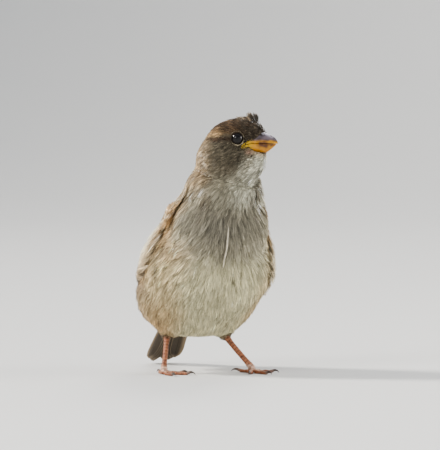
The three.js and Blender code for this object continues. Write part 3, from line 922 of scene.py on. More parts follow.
# What the coat is made of: each kind's slot, the centre of its map, the barbs of one feather and a seed.
Kind = namedtuple("Kind", "slot centre barbs seed")
COAT = {
    "head": Kind("head_plumage", HEAD_AT, barbs=12, seed=20),
    "body": Kind("trunk_plumage", TRUNK_CENTRE, barbs=22, seed=20),
    "parting": Kind("trunk_plumage", TRUNK_CENTRE, barbs=5, seed=36),
    "crest": Kind("head_plumage", HEAD_AT, barbs=9, seed=32),
    "bristles": Kind("head_plumage", HEAD_AT, barbs=3, seed=33),
    "eye_ring": Kind("head_plumage", HEAD_AT, barbs=5, seed=82),
    "lesser": Kind("wing_feathers", TRUNK_CENTRE, barbs=16, seed=62),
    "scapular": Kind("wing_feathers", TRUNK_CENTRE, barbs=20, seed=64),
    "shoulder": Kind("trunk_plumage", TRUNK_CENTRE, barbs=18, seed=68),
    "flank": Kind("trunk_plumage", TRUNK_CENTRE, barbs=22, seed=66),
}
MOST_FACES = 95000  # quads in one coat piece, each of them two triangles


def put_feathers(kind, feathers, material, side=None):
    """Grows feathers and adds them as pieces of a bounded size."""
    slot, centre, barbs, seed = COAT[kind]
    name = f"coat_{kind}_{side}" if side else f"coat_{kind}"
    quads = barbs * (len(BARB_SECTIONS) - 1)
    parts = max(1, math.ceil(len(feathers["spots"]) * quads / MOST_FACES))
    order = np.argsort(feathers["spots"][:, 0], kind="stable")
    for k, part in enumerate(np.array_split(order, parts)):
        picked = {key: value[part] for key, value in feathers.items()}
        points, faces, feather, edge, way = grow(picked, barbs, seed + k)
        thing = mesh_of(f"{name}_{k + 1}", points, faces)
        colour_points(thing, feather_tints(picked, feather, edge, way, seed + k))
        map_points(thing, feather_places(picked["spots"], centre, feather, edge, way))
        put(thing, slot, material)


def feather_spacing(points):
    """How far apart feathers grow: closest on the face."""
    spacing = lerp(0.74, 1.5, smooth(skull_distance(points), 13, 28))
    return spacing * lerp(0.6, 1, smooth(bill_distance(points), 4, 12))


def feather_length(points):
    """How long feathers are: shortest on the face."""
    length = lerp(3.6, 11.0, smooth(skull_distance(points), 11, 28))
    length = length * lerp(0.4, 1, smooth(bill_distance(points), 5, 18))
    return length * lerp(0.4, 1, smooth(eye_distance(points), 3.0, 6.5))


def chosen(feathers, which):
    """Some of the feathers of a flock."""
    return {key: value[which] for key, value in feathers.items()}


def neck_streaks(points):
    """Dark streaks down the sides of the neck."""
    side = smooth(np.abs(points[:, 0] - 1), 5, 10)
    return side * bell((points - NECK_TOP) @ NECK_LINE, 1, 10) * smooth(noise(points, 2.2), -0.3, 0.0)


def streaky(colour, share, random):
    """Makes some of the feathers dark and some of them pale, by this share."""
    pick = random.random(len(colour))
    colour = mix(colour, DARK_BROWN, 0.7 * share * (pick < 0.28))
    return mix(colour, NECK_WHITE, 0.6 * share * (pick > 0.76))


BELLY_DOWN_AND_SHADE = ((7.7, 32.0), (-22.0, 31.0))  # (x, z) in front, where dark down and painted shade show between the feathers


def belly_down_and_shade(points):
    """How dark each point of the belly is painted: the down between the feathers, with painted shade in the
    gaps.
    """
    x, y, z = points.T
    gap = sum(bell(x, at_x, 1.5) * bell(z, at_z, 3.4) for at_x, at_z in BELLY_DOWN_AND_SHADE)
    return gap * (y < 0) * smooth(noise(points, 1.2), -0.15, 0.2)


MANTLE_PITCH = 5.2  # from one dark row down the back to the next


def mantle_rows(points, normals):
    """Dark streaks in rows down the back."""
    x, _, z = points.T
    rows = np.cos(2 * np.pi * (x + 0.8 * noise(points, 12.0)) / MANTLE_PITCH)
    back = smooth(normals[:, 1], 0.05, 0.4) * smooth(z, 40, 50) * (1 - smooth(z, 80, 88))
    return back * smooth(rows, -0.2, 0.5)


def under_wing(points):
    """Where the folded wings lie over the coat."""
    s, c = (grid.ravel() for grid in np.meshgrid(np.linspace(0, 0.95, 30), np.linspace(0, 1, 16)))
    places = np.concatenate([wing_points(side, s, c, 0.0) for side in SIDES])
    tree = KDTree(len(places))
    for i, place in enumerate(places):
        tree.insert(place, i)
    tree.balance()
    return 1 - smooth(np.array([tree.find(point)[2] for point in points]), 1.5, 3.5)


def coat_stance(spots, lie, length, random):
    """How far the contour feathers stand off the form, and how ruffled they are."""
    loose = smooth(skull_distance(spots), 18, 34) * smooth(np.abs(spots[:, 0]), 14, 26)
    loose = np.maximum(loose, 0.9 * (1 - smooth(spots[:, 2], 16, 24)))
    loose = loose * smooth(ankle_distance(spots), 5, 12)
    stand = np.abs(random.normal(0, 1, len(spots))) * (0.1 + 0.4 * loose * (1 - under_wing(spots)))
    tip = 0.05 + stand + crease_fill(spots + 0.5 * length[:, None] * lie) - gape_sink(spots)
    away, shown = parting(spots)
    return {"tip": tip - 0.9 * shown * bell(away, 0, 1.3), "ruffle": 1 + 0.8 * loose}


def coat_look(spots, normals, length, random):
    """The contour feathers' colours, streaks and widths."""
    from_skull = skull_distance(spots)
    crown = smooth(head_coordinates(spots)[2], 6, 9) * (0.35 + 0.65 * smooth(noise(spots, 1.7), -0.2, 0.4))
    rows, neck = mantle_rows(spots, normals), neck_streaks(spots)
    sides = smooth(np.abs(spots[:, 0]), 8, 18) * smooth(spots[:, 2], 46, 60)
    fleck = lerp(lerp(0.22, 0.46, sides), 0.32, 1 - smooth(from_skull, 14, 24))
    return {
        "streak": np.maximum.reduce([rows, 0.75 * crown, 0.5 * neck, 0.8 * belly_down_and_shade(spots)]),
        "colour": streaky(mix(coat_colour(spots, normals), DARK_BROWN, 0.55 * rows), neck, random),
        "fleck": fleck + 0.3 * neck + 0.3 * crown,
        "width": length * lerp(0.27, 0.2, smooth(from_skull, 14, 28)) * (1 - 0.45 * neck),
    }


HEAD_COAT_REACH = 17  # feathers nearer to the skull's middle than this belong to the head's piece


def make_coat(points, faces, material):
    """Every contour feather of head, neck and trunk."""
    spots = sample_skin(points, faces, feather_spacing, SEEDS["places"])
    spots = spots[(bare_bill(spots) < 0.1) & (eye_distance(spots) > EYE_RADIUS + 0.35)]
    spots, normals = settle(spots, -coat_depth(spots), steps=2)
    random = np.random.default_rng(SEEDS["coat"])
    lie = flow_at(spots, normals)
    swing = 0.16 * noise(spots, 5.0) + random.normal(0, 0.07, len(spots))
    lie = unit(lie + swing[:, None] * np.cross(normals, lie))
    length = feather_length(spots) * random.normal(1, 0.08, len(spots))
    stance = coat_stance(spots, lie, length, random)
    feathers = flock(spots, lie, normals, length, **stance, **coat_look(spots, normals, length, random))
    on_head = skull_distance(spots) < HEAD_COAT_REACH
    put_feathers("head", chosen(feathers, on_head), material)
    put_feathers("body", chosen(feathers, ~on_head), material)


BREAST_FRONT = -34.0  # y of a plane in front of the breast


def make_parting(material):
    """A line of narrow pale feathers where the breast feathers part, over a shallow groove."""
    random = np.random.default_rng(SEEDS["parting"])
    share = np.sort(random.uniform(0, 0.62, 80))
    x = lerp(PARTING_TOP[0], PARTING_END[0], share) - 0.4 + random.normal(0, 0.12, len(share))
    z = lerp(PARTING_TOP[1], PARTING_END[1], share)
    spots, normals = settle(np.stack([x, np.full(len(x), BREAST_FRONT), z], 1), -0.6, steps=8)
    lie = flow_at(spots, normals)
    pale = mix(GREY_BUFF, NECK_WHITE, np.full(len(spots), 0.55))
    tip = 0.75 * (1 - smooth(share, 0.35, 0.62)) + random.uniform(0, 0.2, len(share))
    more = {"tip": tip, "colour": pale, "width": 0.2, "ruffle": 0.5, "root": -0.5}
    line = flock(spots, lie, normals, random.uniform(5, 7, len(spots)), **more)
    put_feathers("parting", line, material)


CREST_COUNT = 90
BRISTLE_COUNT = 60


def make_crest(random, material):
    """The ruffled tuft that stands up over the forehead."""
    count = CREST_COUNT
    forward, sideways = random.uniform(4.0, 12.6, count), random.normal(0, 1.3, count)
    spots, normals = settle(in_head(forward, sideways, 12 + 0 * forward), -0.8, steps=6)
    tall = smooth(forward, 7.6, 9.8)
    lie = along_form(LEFT * random.normal(0, 0.3, (count, 1)) - FORWARD, normals)
    colour = mix(CREST_PALE, FACE_DARK * 0.5, smooth(forward + random.normal(0, 0.6, count), 10.2, 11.2))
    tip = lerp(0.8, 3.6, tall) * random.uniform(0.55, 1.05, count)
    more = {"tip": tip, "colour": colour, "streak": 0.5, "ruffle": 1.5, "width": 0.8, "fleck": 0.4}
    tuft = flock(spots, lie, normals, lerp(2.8, 2.3, tall), **more)
    put_feathers("crest", tuft, material)


def make_bristles(random, material):
    """The bristles over the root of the bill, along the plumage's edge on the sides of the face."""
    count = BRISTLE_COUNT
    forward = random.uniform(8.6, 16.4, count)
    face = np.clip((FACE_OUT - 0.545 * forward) / 0.839, 0.3, 9)
    sideways = np.where(random.random(count) < 0.5, -1, 1) * face
    heights = np.where(random.random(count) < 0.65, lores_edge(forward) + 0.35, chin_edge(forward) - 0.35)
    spots, normals = settle(in_head(forward, sideways, heights), -0.6, steps=6)
    lie = FORWARD + LEFT * random.normal(0, 0.25, (count, 1)) + UP * random.normal(-0.1, 0.25, (count, 1))
    lie = along_form(lie, normals)
    more = {"tip": random.uniform(0.1, 0.5, count), "colour": 0 * spots + FACE_DARK * 0.6, "width": 0.16}
    bristles = flock(spots, lie, normals, random.uniform(1.6, 3.0, count), **more)
    put_feathers("bristles", bristles, material)


# ------------------------------------------------------------------ bill


def bill_half_width(s):
    """Half of the bill's width at the share s from its root to its tip."""
    return lerp(BILL_HALF_WIDTH, 0.35, np.power(s, 1.35))


def mouth_line(s):
    """Where the mandibles meet: a line that rises from the corner of the mouth and then runs level."""
    return BILL_LEVEL + 0.3 * np.sin(np.pi * s) - GAPE_DROP * np.maximum(0, 1 - s / 0.45) ** 2


def upper_ridge(s):
    """Height of the bill's upper edge, seen from the side."""
    return BILL_LEVEL + 0.4 + UPPER_DEPTH * (1 - s**2.9) ** 0.6


def lower_ridge(s):
    """Height of the bill's lower edge, seen from the side."""
    return BILL_LEVEL - 0.4 - LOWER_DEPTH * (1 - np.clip((s - 0.64) / 0.36, 0, 1) ** 1.2)


def tube(name, rings):
    """A closed object through rings of points, and all its points."""
    points, faces = tube_shell(rings)
    mesh = bpy.data.meshes.new(name)
    mesh.from_pydata(((points + SHIFT) / 1000).tolist(), [], faces)
    shape = bmesh.new()
    shape.from_mesh(mesh)
    bmesh.ops.recalc_face_normals(shape, faces=shape.faces)
    shape.to_mesh(mesh)
    shape.free()
    mesh.polygons.foreach_set("use_smooth", np.ones(len(mesh.polygons), bool))
    return add_object(name, mesh), points


BILL_ROWS = 70
BILL_SIDES = 64
NOSTRIL = (15.2, 2.4, 6.6)
HORN_GREY = srgb(98, 88, 94)
HORN_DARK = srgb(52, 42, 45)
# Pale horn for a painted highlight along the upper ridge.
HORN_PAINTED_HIGHLIGHT = srgb(186, 184, 194)
BILL_YELLOW = srgb(190, 136, 6)
BILL_ORANGE = srgb(164, 98, 6)
GAPE_YELLOW = srgb(204, 168, 34)
SMEAR = srgb(62, 20, 8)
# Painted shade for the hollow of each nostril.
NOSTRIL_PAINTED_SHADE = srgb(28, 22, 20)


def nostril_at(sign):
    """The middle of one nostril."""
    return in_head(NOSTRIL[0], sign * NOSTRIL[1], NOSTRIL[2])


def mandible(name, edge, ridge, tip):
    """One half of the bill, from its cutting edge round over its ridge."""
    s = (1 - (1 - np.linspace(0, 1, BILL_ROWS)) ** 1.4)[:, None]
    turn = np.linspace(0, 2 * np.pi, BILL_SIDES, endpoint=False)[None, :]
    rise = np.maximum(0, np.sin(turn)) ** 0.85
    height = edge(s) + (ridge(s) - edge(s)) * rise
    swell = 1 + 0.07 * bell(s, 0.05, 0.18) * bell(rise, 0.1, 0.25)
    rings = in_head(lerp(BILL_ROOT, tip, s) + 0 * turn, bill_half_width(s) * swell * np.cos(turn), height)
    for sign in SIDES.values():
        nostril = nostril_at(sign)
        away = np.linalg.norm((rings - nostril) * (1, 1, 1.3), axis=2)
        inward = unit(in_head(NOSTRIL[0] - 1, 0, 3) - nostril)
        rings = rings + 0.5 * bell(away, 0, 0.55)[..., None] * inward
    return tube(name, rings)


def bill_tints(points, upper):
    """Grey lilac horn over a yellow cutting edge, with a dark red smear where the halves meet, a painted
    highlight along the ridge and painted shade in the nostrils.
    """
    f, _, u = head_coordinates(points)
    s = np.clip((f - BILL_ROOT) / (BILL_TIP - BILL_ROOT), 0, 1)
    over = u - mouth_line(s)
    if upper:
        colour = mix(HORN_GREY, HORN_DARK, 0.7 * smooth(noise(points * (1, 1, 2.5), 1.8), -0.2, 0.6))
        # Painted highlight: a pale patch along the ridge of the upper half, strongest over its middle.
        ridge_highlight = smooth(u - upper_ridge(s), -1.3, -0.3) * (0.5 + 0.5 * bell(f, 15.5, 3.0))
        colour = mix(colour, HORN_PAINTED_HIGHLIGHT, 0.95 * ridge_highlight * smooth(noise(points, 0.9), -0.6, 0.0))
        wavy = over + 0.3 * noise(points, 1.3)
        colour = mix(colour, BILL_YELLOW, 1 - smooth(wavy, 0.9, 1.7))
        colour = mix(colour, HORN_DARK, 0.7 * smooth(f, 19.8, 22.0) * smooth(over, 0.5, 1.0))
        # Painted shade in the hollow of each nostril.
        away = [np.linalg.norm((points - nostril_at(sign)) * (1, 1, 1.3), axis=1) for sign in SIDES.values()]
        colour = mix(colour, NOSTRIL_PAINTED_SHADE, np.clip(sum(bell(far, 0, 0.45) for far in away), 0, 1))
    else:
        colour = mix(BILL_YELLOW, BILL_ORANGE, smooth(-over, 1.2, 3.6) * 0.6)
        colour = mix(colour, BILL_ORANGE, 0.5 * smooth(f, 19, 22))
    colour = mix(colour, GAPE_YELLOW, 1 - smooth(f, 9.5, 13.0))
    patch = 1.5 * bell(f, 16.9, 2.4) * bell(over, -0.5, 1.7)
    patch = patch + 0.7 * bell(f, 20.4, 1.2) * bell(over, -0.6, 0.7)
    return mix(colour, SMEAR, np.clip(patch * (0.85 + 0.7 * noise(points, 1.0)), 0, 0.94))


MOUTH_GAP = 0.1
OVERBITE = 0.9  # how much further the upper half of the bill reaches


def make_bill():
    """Both halves of the bill."""
    material = horn_material("bill_horn", 0.32)
    upper_edge, lower_edge = (lambda s, sign=sign: mouth_line(s) + sign * MOUTH_GAP / 2 for sign in (1, -1))
    upper, points = mandible("bill_upper_horn", upper_edge, upper_ridge, BILL_TIP)
    colour_points(upper, bill_tints(points, True))
    put(upper, "upper_bill_horn", material, "bill_upper")
    lower, points = mandible("bill_lower_horn", lower_edge, lower_ridge, BILL_TIP - OVERBITE)
    colour_points(lower, bill_tints(points, False))
    put(lower, "lower_bill_horn", material, "bill_lower")


# ------------------------------------------------------------------ eyes

EYE_OPENING = 2.34
PUPIL = srgb(6, 5, 6)
IRIS = srgb(26, 18, 13)
LID = srgb(44, 38, 32)
RING_PALE = srgb(204, 192, 164)


def make_eye(name, sign, material, lid_look, coat):
    """The eyeball, its lid and the ring of tiny feathers round it."""
    axis = settle(EYES[name][None], 0, steps=8)[1][0]
    ahead = unit(FORWARD - dot(FORWARD, axis) * axis)
    above = np.cross(axis, ahead) * sign
    above = above * np.sign(above[2])
    polar = np.linspace(0, np.pi, 34)[1:-1, None]
    turn = np.linspace(0, 2 * np.pi, 48, endpoint=False)[None, :]
    out = np.cos(polar)[..., None] * axis + np.sin(polar)[..., None] * (
        np.cos(turn)[..., None] * ahead + np.sin(turn)[..., None] * above
    )
    bulge = 1 + 0.04 * bell(polar, 0, 0.6)[..., None]
    eyeball, points = tube(f"eyeball_{name}", EYES[name] + EYE_RADIUS * bulge * out)
    off_axis = np.arccos(np.clip(unit(points - EYES[name]) @ axis, -1, 1))
    colour_points(eyeball, mix(PUPIL, IRIS, bell(off_axis, 0.66, 0.13)))
    put(eyeball, "eye", material, f"eye_{name}")

    around = np.linspace(0, 2 * np.pi, 72, endpoint=False)[:, None, None]
    section = np.linspace(0, 2 * np.pi, 10, endpoint=False)[None, :, None]
    corner = np.abs(np.cos(around)) ** 6
    radius = EYE_OPENING + 0.12 + 0.22 * corner
    depth = np.sqrt(EYE_RADIUS**2 - EYE_OPENING**2) + 0.1 - 0.15 * corner
    thick = 0.15 * (1 + 0.2 * np.sin(around * 22))
    outward = np.cos(around) * ahead + np.sin(around) * above
    rings = EYES[name] + (radius + thick * np.cos(section)) * outward
    rings = rings + (depth + 0.8 * thick * np.sin(section)) * axis
    lid = mesh_of(f"eyelid_{name}", rings, grid_faces(*rings.shape[:2], closed=True, endless=True))
    colour_points(lid, np.tile(LID, (len(lid.data.vertices), 1)))
    put(lid, "head_plumage", lid_look)
    make_eye_ring(name, ahead, above, coat)


def make_eye_ring(name, ahead, above, material):
    """Tiny pale feathers lying round the eye, thickest below it and behind."""
    count = 120
    random = np.random.default_rng(SEEDS["eye_ring"] + SIDES[name])
    angle = random.uniform(0, 2 * np.pi, count)
    outward = np.cos(angle)[:, None] * ahead + np.sin(angle)[:, None] * above
    spots = EYES[name] + random.uniform(2.8, 3.1, count)[:, None] * outward
    spots, normals = settle(spots, -0.25, steps=5)
    lie = np.cross(normals, outward)
    lie = lie * -np.sign(dot(lie, np.broadcast_to(ahead, lie.shape)))[:, None] + 0.15 * outward
    lie = along_form(lie, normals)
    below = smooth(-np.sin(angle - 0.5), 0.1, 0.8)
    above_share = smooth(np.sin(angle + 0.3), 0.2, 0.7)
    pale = (below + 0.4 * above_share) * random.uniform(0.3, 1, count)
    colour = mix(FACE_DARK * 0.8, RING_PALE, np.clip(pale, 0, 1))
    more = {"root": -0.2, "tip": 0.22, "colour": colour, "ruffle": 0.5, "width": 0.06 + 0.1 * below}
    ring = flock(spots, lie, normals, random.uniform(0.8, 1.3, count), **more)
    put_feathers("eye_ring", ring, material, name)


# ------------------------------------------------------------------ smooth curves


class Curve:
    """A smooth line through points, by its length from 0 to 1, as in the solids."""

    def __init__(self, knots, rows=400):
        knots = np.array(knots, float)
        whole = np.concatenate([[2 * knots[0] - knots[1]], knots, [2 * knots[-1] - knots[-2]]])
        gaps = np.sqrt(np.linalg.norm(np.diff(whole, axis=0), axis=1))
        t = np.linspace(0, 1, rows // (len(knots) - 1))[:, None]
        spans = []
        for i in range(len(knots) - 1):
            p0, p1, p2, p3 = whole[i : i + 4]
            g0, g1, g2 = gaps[i : i + 3]
            start = ((p1 - p0) / g0 - (p2 - p0) / (g0 + g1) + (p2 - p1) / g1) * g1
            end = ((p2 - p1) / g1 - (p3 - p1) / (g1 + g2) + (p3 - p2) / g2) * g1
            square, cube = t**2, t**3
            spans.append(
                p1 * (2 * cube - 3 * square + 1)
                + start * (cube - 2 * square + t)
                + p2 * (3 * square - 2 * cube)
                + end * (cube - square)
            )
        self.line = np.concatenate(spans)
        run = np.concatenate([[0], np.cumsum(np.linalg.norm(np.diff(self.line, axis=0), axis=1))])
        self.share = run / run[-1]

    def at(self, s):
        return np.stack([np.interp(s, self.share, self.line[:, i]) for i in range(3)], -1)

    def along(self, s):
        s, step = np.asarray(s), 0.004
        return unit(self.at(np.clip(s + step, 0, 1)) - self.at(np.clip(s - step, 0, 1)))


# ------------------------------------------------------------------ legs

LEG_SIDES = 20
LEG_VOXEL = 0.00016
LEG_PINK = srgb(158, 104, 74)
# Pale for painted light on top of the toes.
LEG_PAINTED_LIGHT = srgb(222, 192, 172)
# Dark for mottles, and for painted shade in the creases and along the floor.
LEG_MOTTLE_AND_SHADE = srgb(84, 42, 26)
CLAW_DARK = srgb(52, 40, 36)
CLAW_PALE = srgb(120, 98, 86)
LEG_TOP = srgb(112, 92, 70)
SCUTE = 1.6  # length of one scale on the shank's front
TOE_SCALE = 0.9  # length of one scale on a toe
SHANK_START = 2.5  # how far over the ankle the shank starts


def limb_rings(curve, rows, wide, high):
    """Rings round a curve that is nowhere upright; wide and high are functions of the share along it."""
    s = np.linspace(0, 1, rows)
    centre, along = curve.at(s), curve.along(s)
    aside = unit(np.cross(along, UP))
    top = np.cross(aside, along)
    turn = np.linspace(0, 2 * np.pi, LEG_SIDES, endpoint=False)
    ring = wide(s)[:, None, None] * np.cos(turn)[None, :, None] * aside[:, None]
    ring = ring + high(s)[:, None, None] * np.sin(turn)[None, :, None] * top[:, None]
    return centre[:, None] + ring


def scales(distance, pitch):
    """A saw-tooth from 0 to 1 over each scale, with a soft step."""
    phase = (distance / pitch) % 1.0
    return phase * (1 - smooth(phase, 0.88, 1.0))


def foot_hub(side):
    """The middle of one foot."""
    return np.array([*FOOT[side], HUB_HEIGHT])


def toe_direction(side, name):
    """The way one toe points, flat along the floor."""
    yaw = math.radians(FOOT_YAW[side] + TOES[name]["angle"][side])
    return np.array([math.sin(yaw), -math.cos(yaw), 0.0])


def toe_curve(side, name):
    """The middle line of one toe, from the foot's middle out."""
    length = TOES[name]["length"]
    out = toe_direction(side, name)
    hub = foot_hub(side) * (1, 1, 0)
    knots = ((-0.4, 2.0), (length * 0.35, 0.72), (length * 0.7, 0.62), (length + 0.35, 0.66))
    return Curve([hub + distance * out + height * UP for distance, height in knots])


def tarsus_curve(side):
    """The middle line of one shank, from inside the feathers to the foot."""
    ankle = np.array(ANKLE[side])
    return Curve([ankle + (0, 0.6, SHANK_START), ankle, foot_hub(side)])


def leg_parts(side):
    """The tubes that a leg is melted from: tarsus, hub and toes."""
    curve = tarsus_curve(side)
    length = np.linalg.norm(np.array(ANKLE[side]) - foot_hub(side)) + SHANK_START

    def shank(s):
        swell = 0.45 * (1 - smooth(s, 0.1, 0.32)) + 0.4 * smooth(s, 0.78, 1)
        return TARSUS_RADIUS + swell + 0.13 * scales(s * length, SCUTE)

    parts = [limb_rings(curve, 150, shank, lambda s: shank(s) + 0.1)]

    def hub_width(s):
        return HUB_RADIUS * np.sqrt(np.maximum(0.02, 1 - (2 * s - 1) ** 4))

    hub = Curve([foot_hub(side) + toe_direction(side, toe) for toe in ("toe_1", "toe_3")])
    parts.append(limb_rings(hub, 20, hub_width, lambda s: 0 * s + HUB_RADIUS))
    for name, toe in TOES.items():
        reach = toe["length"]

        def pad(s, toe=toe, reach=reach):
            pads = 1 + 0.15 * np.cos(2 * np.pi * (toe["joints"] * s - 0.15))
            rounded = np.sqrt(np.maximum(0.02, 1 - smooth(s, 0.9, 1.02) ** 2))
            radius = lerp(TOE_RADIUS, TOE_RADIUS * 0.8, s) * pads * rounded
            return radius + 0.07 * scales(s * reach, TOE_SCALE)

        parts.append(limb_rings(toe_curve(side, name), 90, pad, lambda s, pad=pad: pad(s) * 1.05))
    return parts


def melted(parts, voxel):
    """Points and quads of one skin over several closed tubes."""
    shapes = bpy.data.meshes.new("parts")
    points, faces = [], []
    for rings in parts:
        part_points, part_faces = tube_shell(rings, base=sum(len(p) for p in points))
        points.append(part_points)
        faces += part_faces
    shapes.from_pydata((np.concatenate(points) / 1000).tolist(), [], faces)
    return melt(shapes, voxel)


def leg_tints(side, points):
    """Pink orange skin with dark mottles, painted light on top of the toes, and painted shade in the creases
    between its scales and along the floor.
    """
    start, end = np.array(ANKLE[side]), foot_hub(side)
    line = end - start
    length = np.linalg.norm(line)
    along = ((points - start) @ line) / length
    on_shank = points[:, 2] > 3.2
    from_hub = np.linalg.norm((points - end)[:, :2], axis=1)
    phase = np.where(on_shank, (along / SCUTE) % 1.0, (from_hub / TOE_SCALE) % 1.0)
    # Painted shade in the creases between the scales.
    crease = bell(phase, 0.95, 0.13) + bell(phase, -0.05, 0.13)
    # Painted light: the tops of the toes are paler, as if lit from above.
    lit_toe_tops = smooth(points[:, 2], 1.0, 2.2) * (1 - smooth(points[:, 2], 3, 5))
    colour = mix(LEG_PINK, LEG_PAINTED_LIGHT, lit_toe_tops * 0.7)
    colour = mix(colour, LEG_MOTTLE_AND_SHADE, 0.75 * crease + 0.45 * smooth(noise(points, 1.1), 0.05, 0.5))
    # Painted shade along the bottom, where the toes meet the floor.
    colour = mix(colour, LEG_MOTTLE_AND_SHADE, 0.5 * (1 - smooth(points[:, 2], 0.1, 0.7)))
    return mix(colour, LEG_TOP, 0.75 * smooth(points[:, 2], 16.2, 18.2))


def make_leg(side, material, horn):
    """One leg's bare skin and its four claws."""
    points, faces = melted(leg_parts(side), LEG_VOXEL)
    points[:, 2] = np.maximum(points[:, 2], 0)
    leg = mesh_of(f"leg_{side}", points, faces)
    colour_points(leg, leg_tints(side, points))
    put(leg, "leg_skin", material, f"tarsus_{side}", f"foot_{side}", *(f"{name}_{side}" for name in TOES))
    for name, toe in TOES.items():
        out = toe_direction(side, name)
        start = foot_hub(side) * (1, 1, 0) + (toe["length"] + CLAW_GAP) * out
        c = toe["claw"]
        knots = ((-0.5, 0.75), (0.1, 0.95), (c * 0.38, 1.45), (c * 0.72, 1.2), (c * 0.94, 0.3))
        curve = Curve([start + distance * out + height * UP for distance, height in knots])
        rings = limb_rings(curve, 26, lambda s: lerp(0.6, 0.07, s**1.2), lambda s: lerp(0.8, 0.08, s**1.2))
        rings[..., 2] = np.maximum(rings[..., 2], 0)
        number = name[-1]
        claw, points = tube(f"claw_{number}_{side}_horn", rings)
        reach = np.clip(((points - start) @ out) / c, 0, 1)
        colour_points(claw, mix(CLAW_PALE, CLAW_DARK, smooth(reach, 0.05, 0.5)))
        put(claw, "claw_horn", horn, f"claw_{number}_{side}")


# ------------------------------------------------------------------ vanes, the stiff feathers

VANE_ROWS = 22
VANE_ACROSS = np.array([-1, -0.86, -0.66, -0.36, -0.08, 0.08, 0.36, 0.66, 0.86, 1])
VANE_THICK = 0.13
VANE_ROOT_DIP = 1.3  # how far a root dips under the feathers that cover it


def leaf_faces(rows, columns):
    """Faces of a thin closed leaf: its upper grid, its lower grid and the rim that joins them."""
    upper = grid_faces(rows, columns)
    lower = upper[:, ::-1] + rows * columns
    ring = [
        np.arange(columns),
        np.arange(1, rows) * columns + columns - 1,
        (rows - 1) * columns + np.arange(columns - 2, -1, -1),
        np.arange(rows - 2, 0, -1) * columns,
    ]
    ring = np.concatenate(ring)
    after = np.roll(ring, -1)
    rim = np.stack([after, ring, ring + rows * columns, after + rows * columns], 1)
    return np.concatenate([upper, lower, rim])


def vane(path, normals, half_width, height, tilt, tip, lay):
    """
    One stiff feather as a thin closed leaf along a path. half_width is its widest, tip how much of it the
    rounded end takes, tilt how much one edge stands over the other, and lay(points, heights) puts points
    at heights over what the feather lies on. Returns points and faces, the points' places across (-1 to
    1) and along (0 to 1), and both in millimetres.
    """
    t = np.linspace(0, 1, len(path))
    side = unit(np.cross(normals, np.gradient(path, axis=0)))
    taper = np.sqrt(np.maximum(1 - np.clip((t - 1 + tip) / tip, 0, 0.995) ** 2, 0))
    width = half_width * lerp(0.45, 1, smooth(t, 0, 0.3)) * taper
    a = VANE_ACROSS[None, :]
    flat = path[:, None] + (width[:, None] * a)[..., None] * side[:, None]
    camber = 0.25 * (1 - a**2) + 0.12 * bell(a, 0, 0.12)
    over = height + tilt * a * smooth(t, 0, 0.3)[:, None] + camber * width[:, None] / half_width
    over = over - VANE_ROOT_DIP * (1 - smooth(t, 0, 0.2))[:, None]
    edge_thin = VANE_THICK * lerp(1, 0.35, np.abs(a) ** 3) + 0 * t[:, None]
    top = lay(flat.reshape(-1, 3), over.ravel())
    bottom = lay(flat.reshape(-1, 3), (over - edge_thin).ravel())
    across, along = (np.broadcast_to(grid, over.shape).ravel() for grid in (a, t[:, None]))
    in_mm = np.stack([(width[:, None] * a).ravel(), along * np.linalg.norm(path[-1] - path[0])], 1)
    return np.concatenate([top, bottom]), leaf_faces(*over.shape), across, along, in_mm


UNDERSIDE_SHADE = 1 - 0.12  # how bright the lower side of a vane is, darkened as painted shade


def put_vanes(name, slot, vanes, material, *nodes):
    """Joins vanes into one piece. Each comes with its colours and has its own cell on the OFBake map."""
    points, faces, tints, edges, shares, in_mm, cells = [], [], [], [], [], [], []
    rows = math.ceil(math.sqrt(len(vanes)))
    base = 0
    for k, (shape, body, edge, width, tip_share) in enumerate(vanes):
        p, f, across, along, mm = shape
        wide = np.where(across < 0, width[0], width[1])
        rim = smooth(np.abs(across), 1 - 1.6 * wide, 1 - 0.5 * wide)
        rim = np.maximum(rim, smooth(along, 1 - tip_share, 1.0))
        cell = np.array([k % rows, k // rows])
        for layer in range(2):
            points.append(p[layer * len(across) : (layer + 1) * len(across)])
            tints.append(np.broadcast_to(body, (len(across), 3)) * UNDERSIDE_SHADE**layer)
            edges.append(np.broadcast_to(edge, (len(across), 3)) * UNDERSIDE_SHADE**layer)
            shares.append(rim)
            in_mm.append(mm)
            spot = np.stack([across * 0.23 + 0.25 + 0.5 * layer, along * 0.94 + 0.03], 1)
            cells.append((cell + spot) / rows)
        faces.append(f + base)
        base += len(p)
    thing = mesh_of(name, np.concatenate(points), np.concatenate(faces))
    colour_points(thing, np.concatenate(tints), "tint")
    colour_points(thing, np.concatenate(edges), "edge")
    share = thing.data.attributes.new("edge_share", "FLOAT", "POINT")
    share.data.foreach_set("value", np.concatenate(shares).astype(np.float32))
    map_points(thing, np.concatenate(cells))
    map_points(thing, np.concatenate(in_mm), "Vane")
    put(thing, slot, material, *nodes)


# ------------------------------------------------------------------ wings

WING_LENGTH = 66
WING_LINE = Curve([(0, -9, 75), (0, -3, 58), (0, 12, 42), (0, 37, 27.5)])


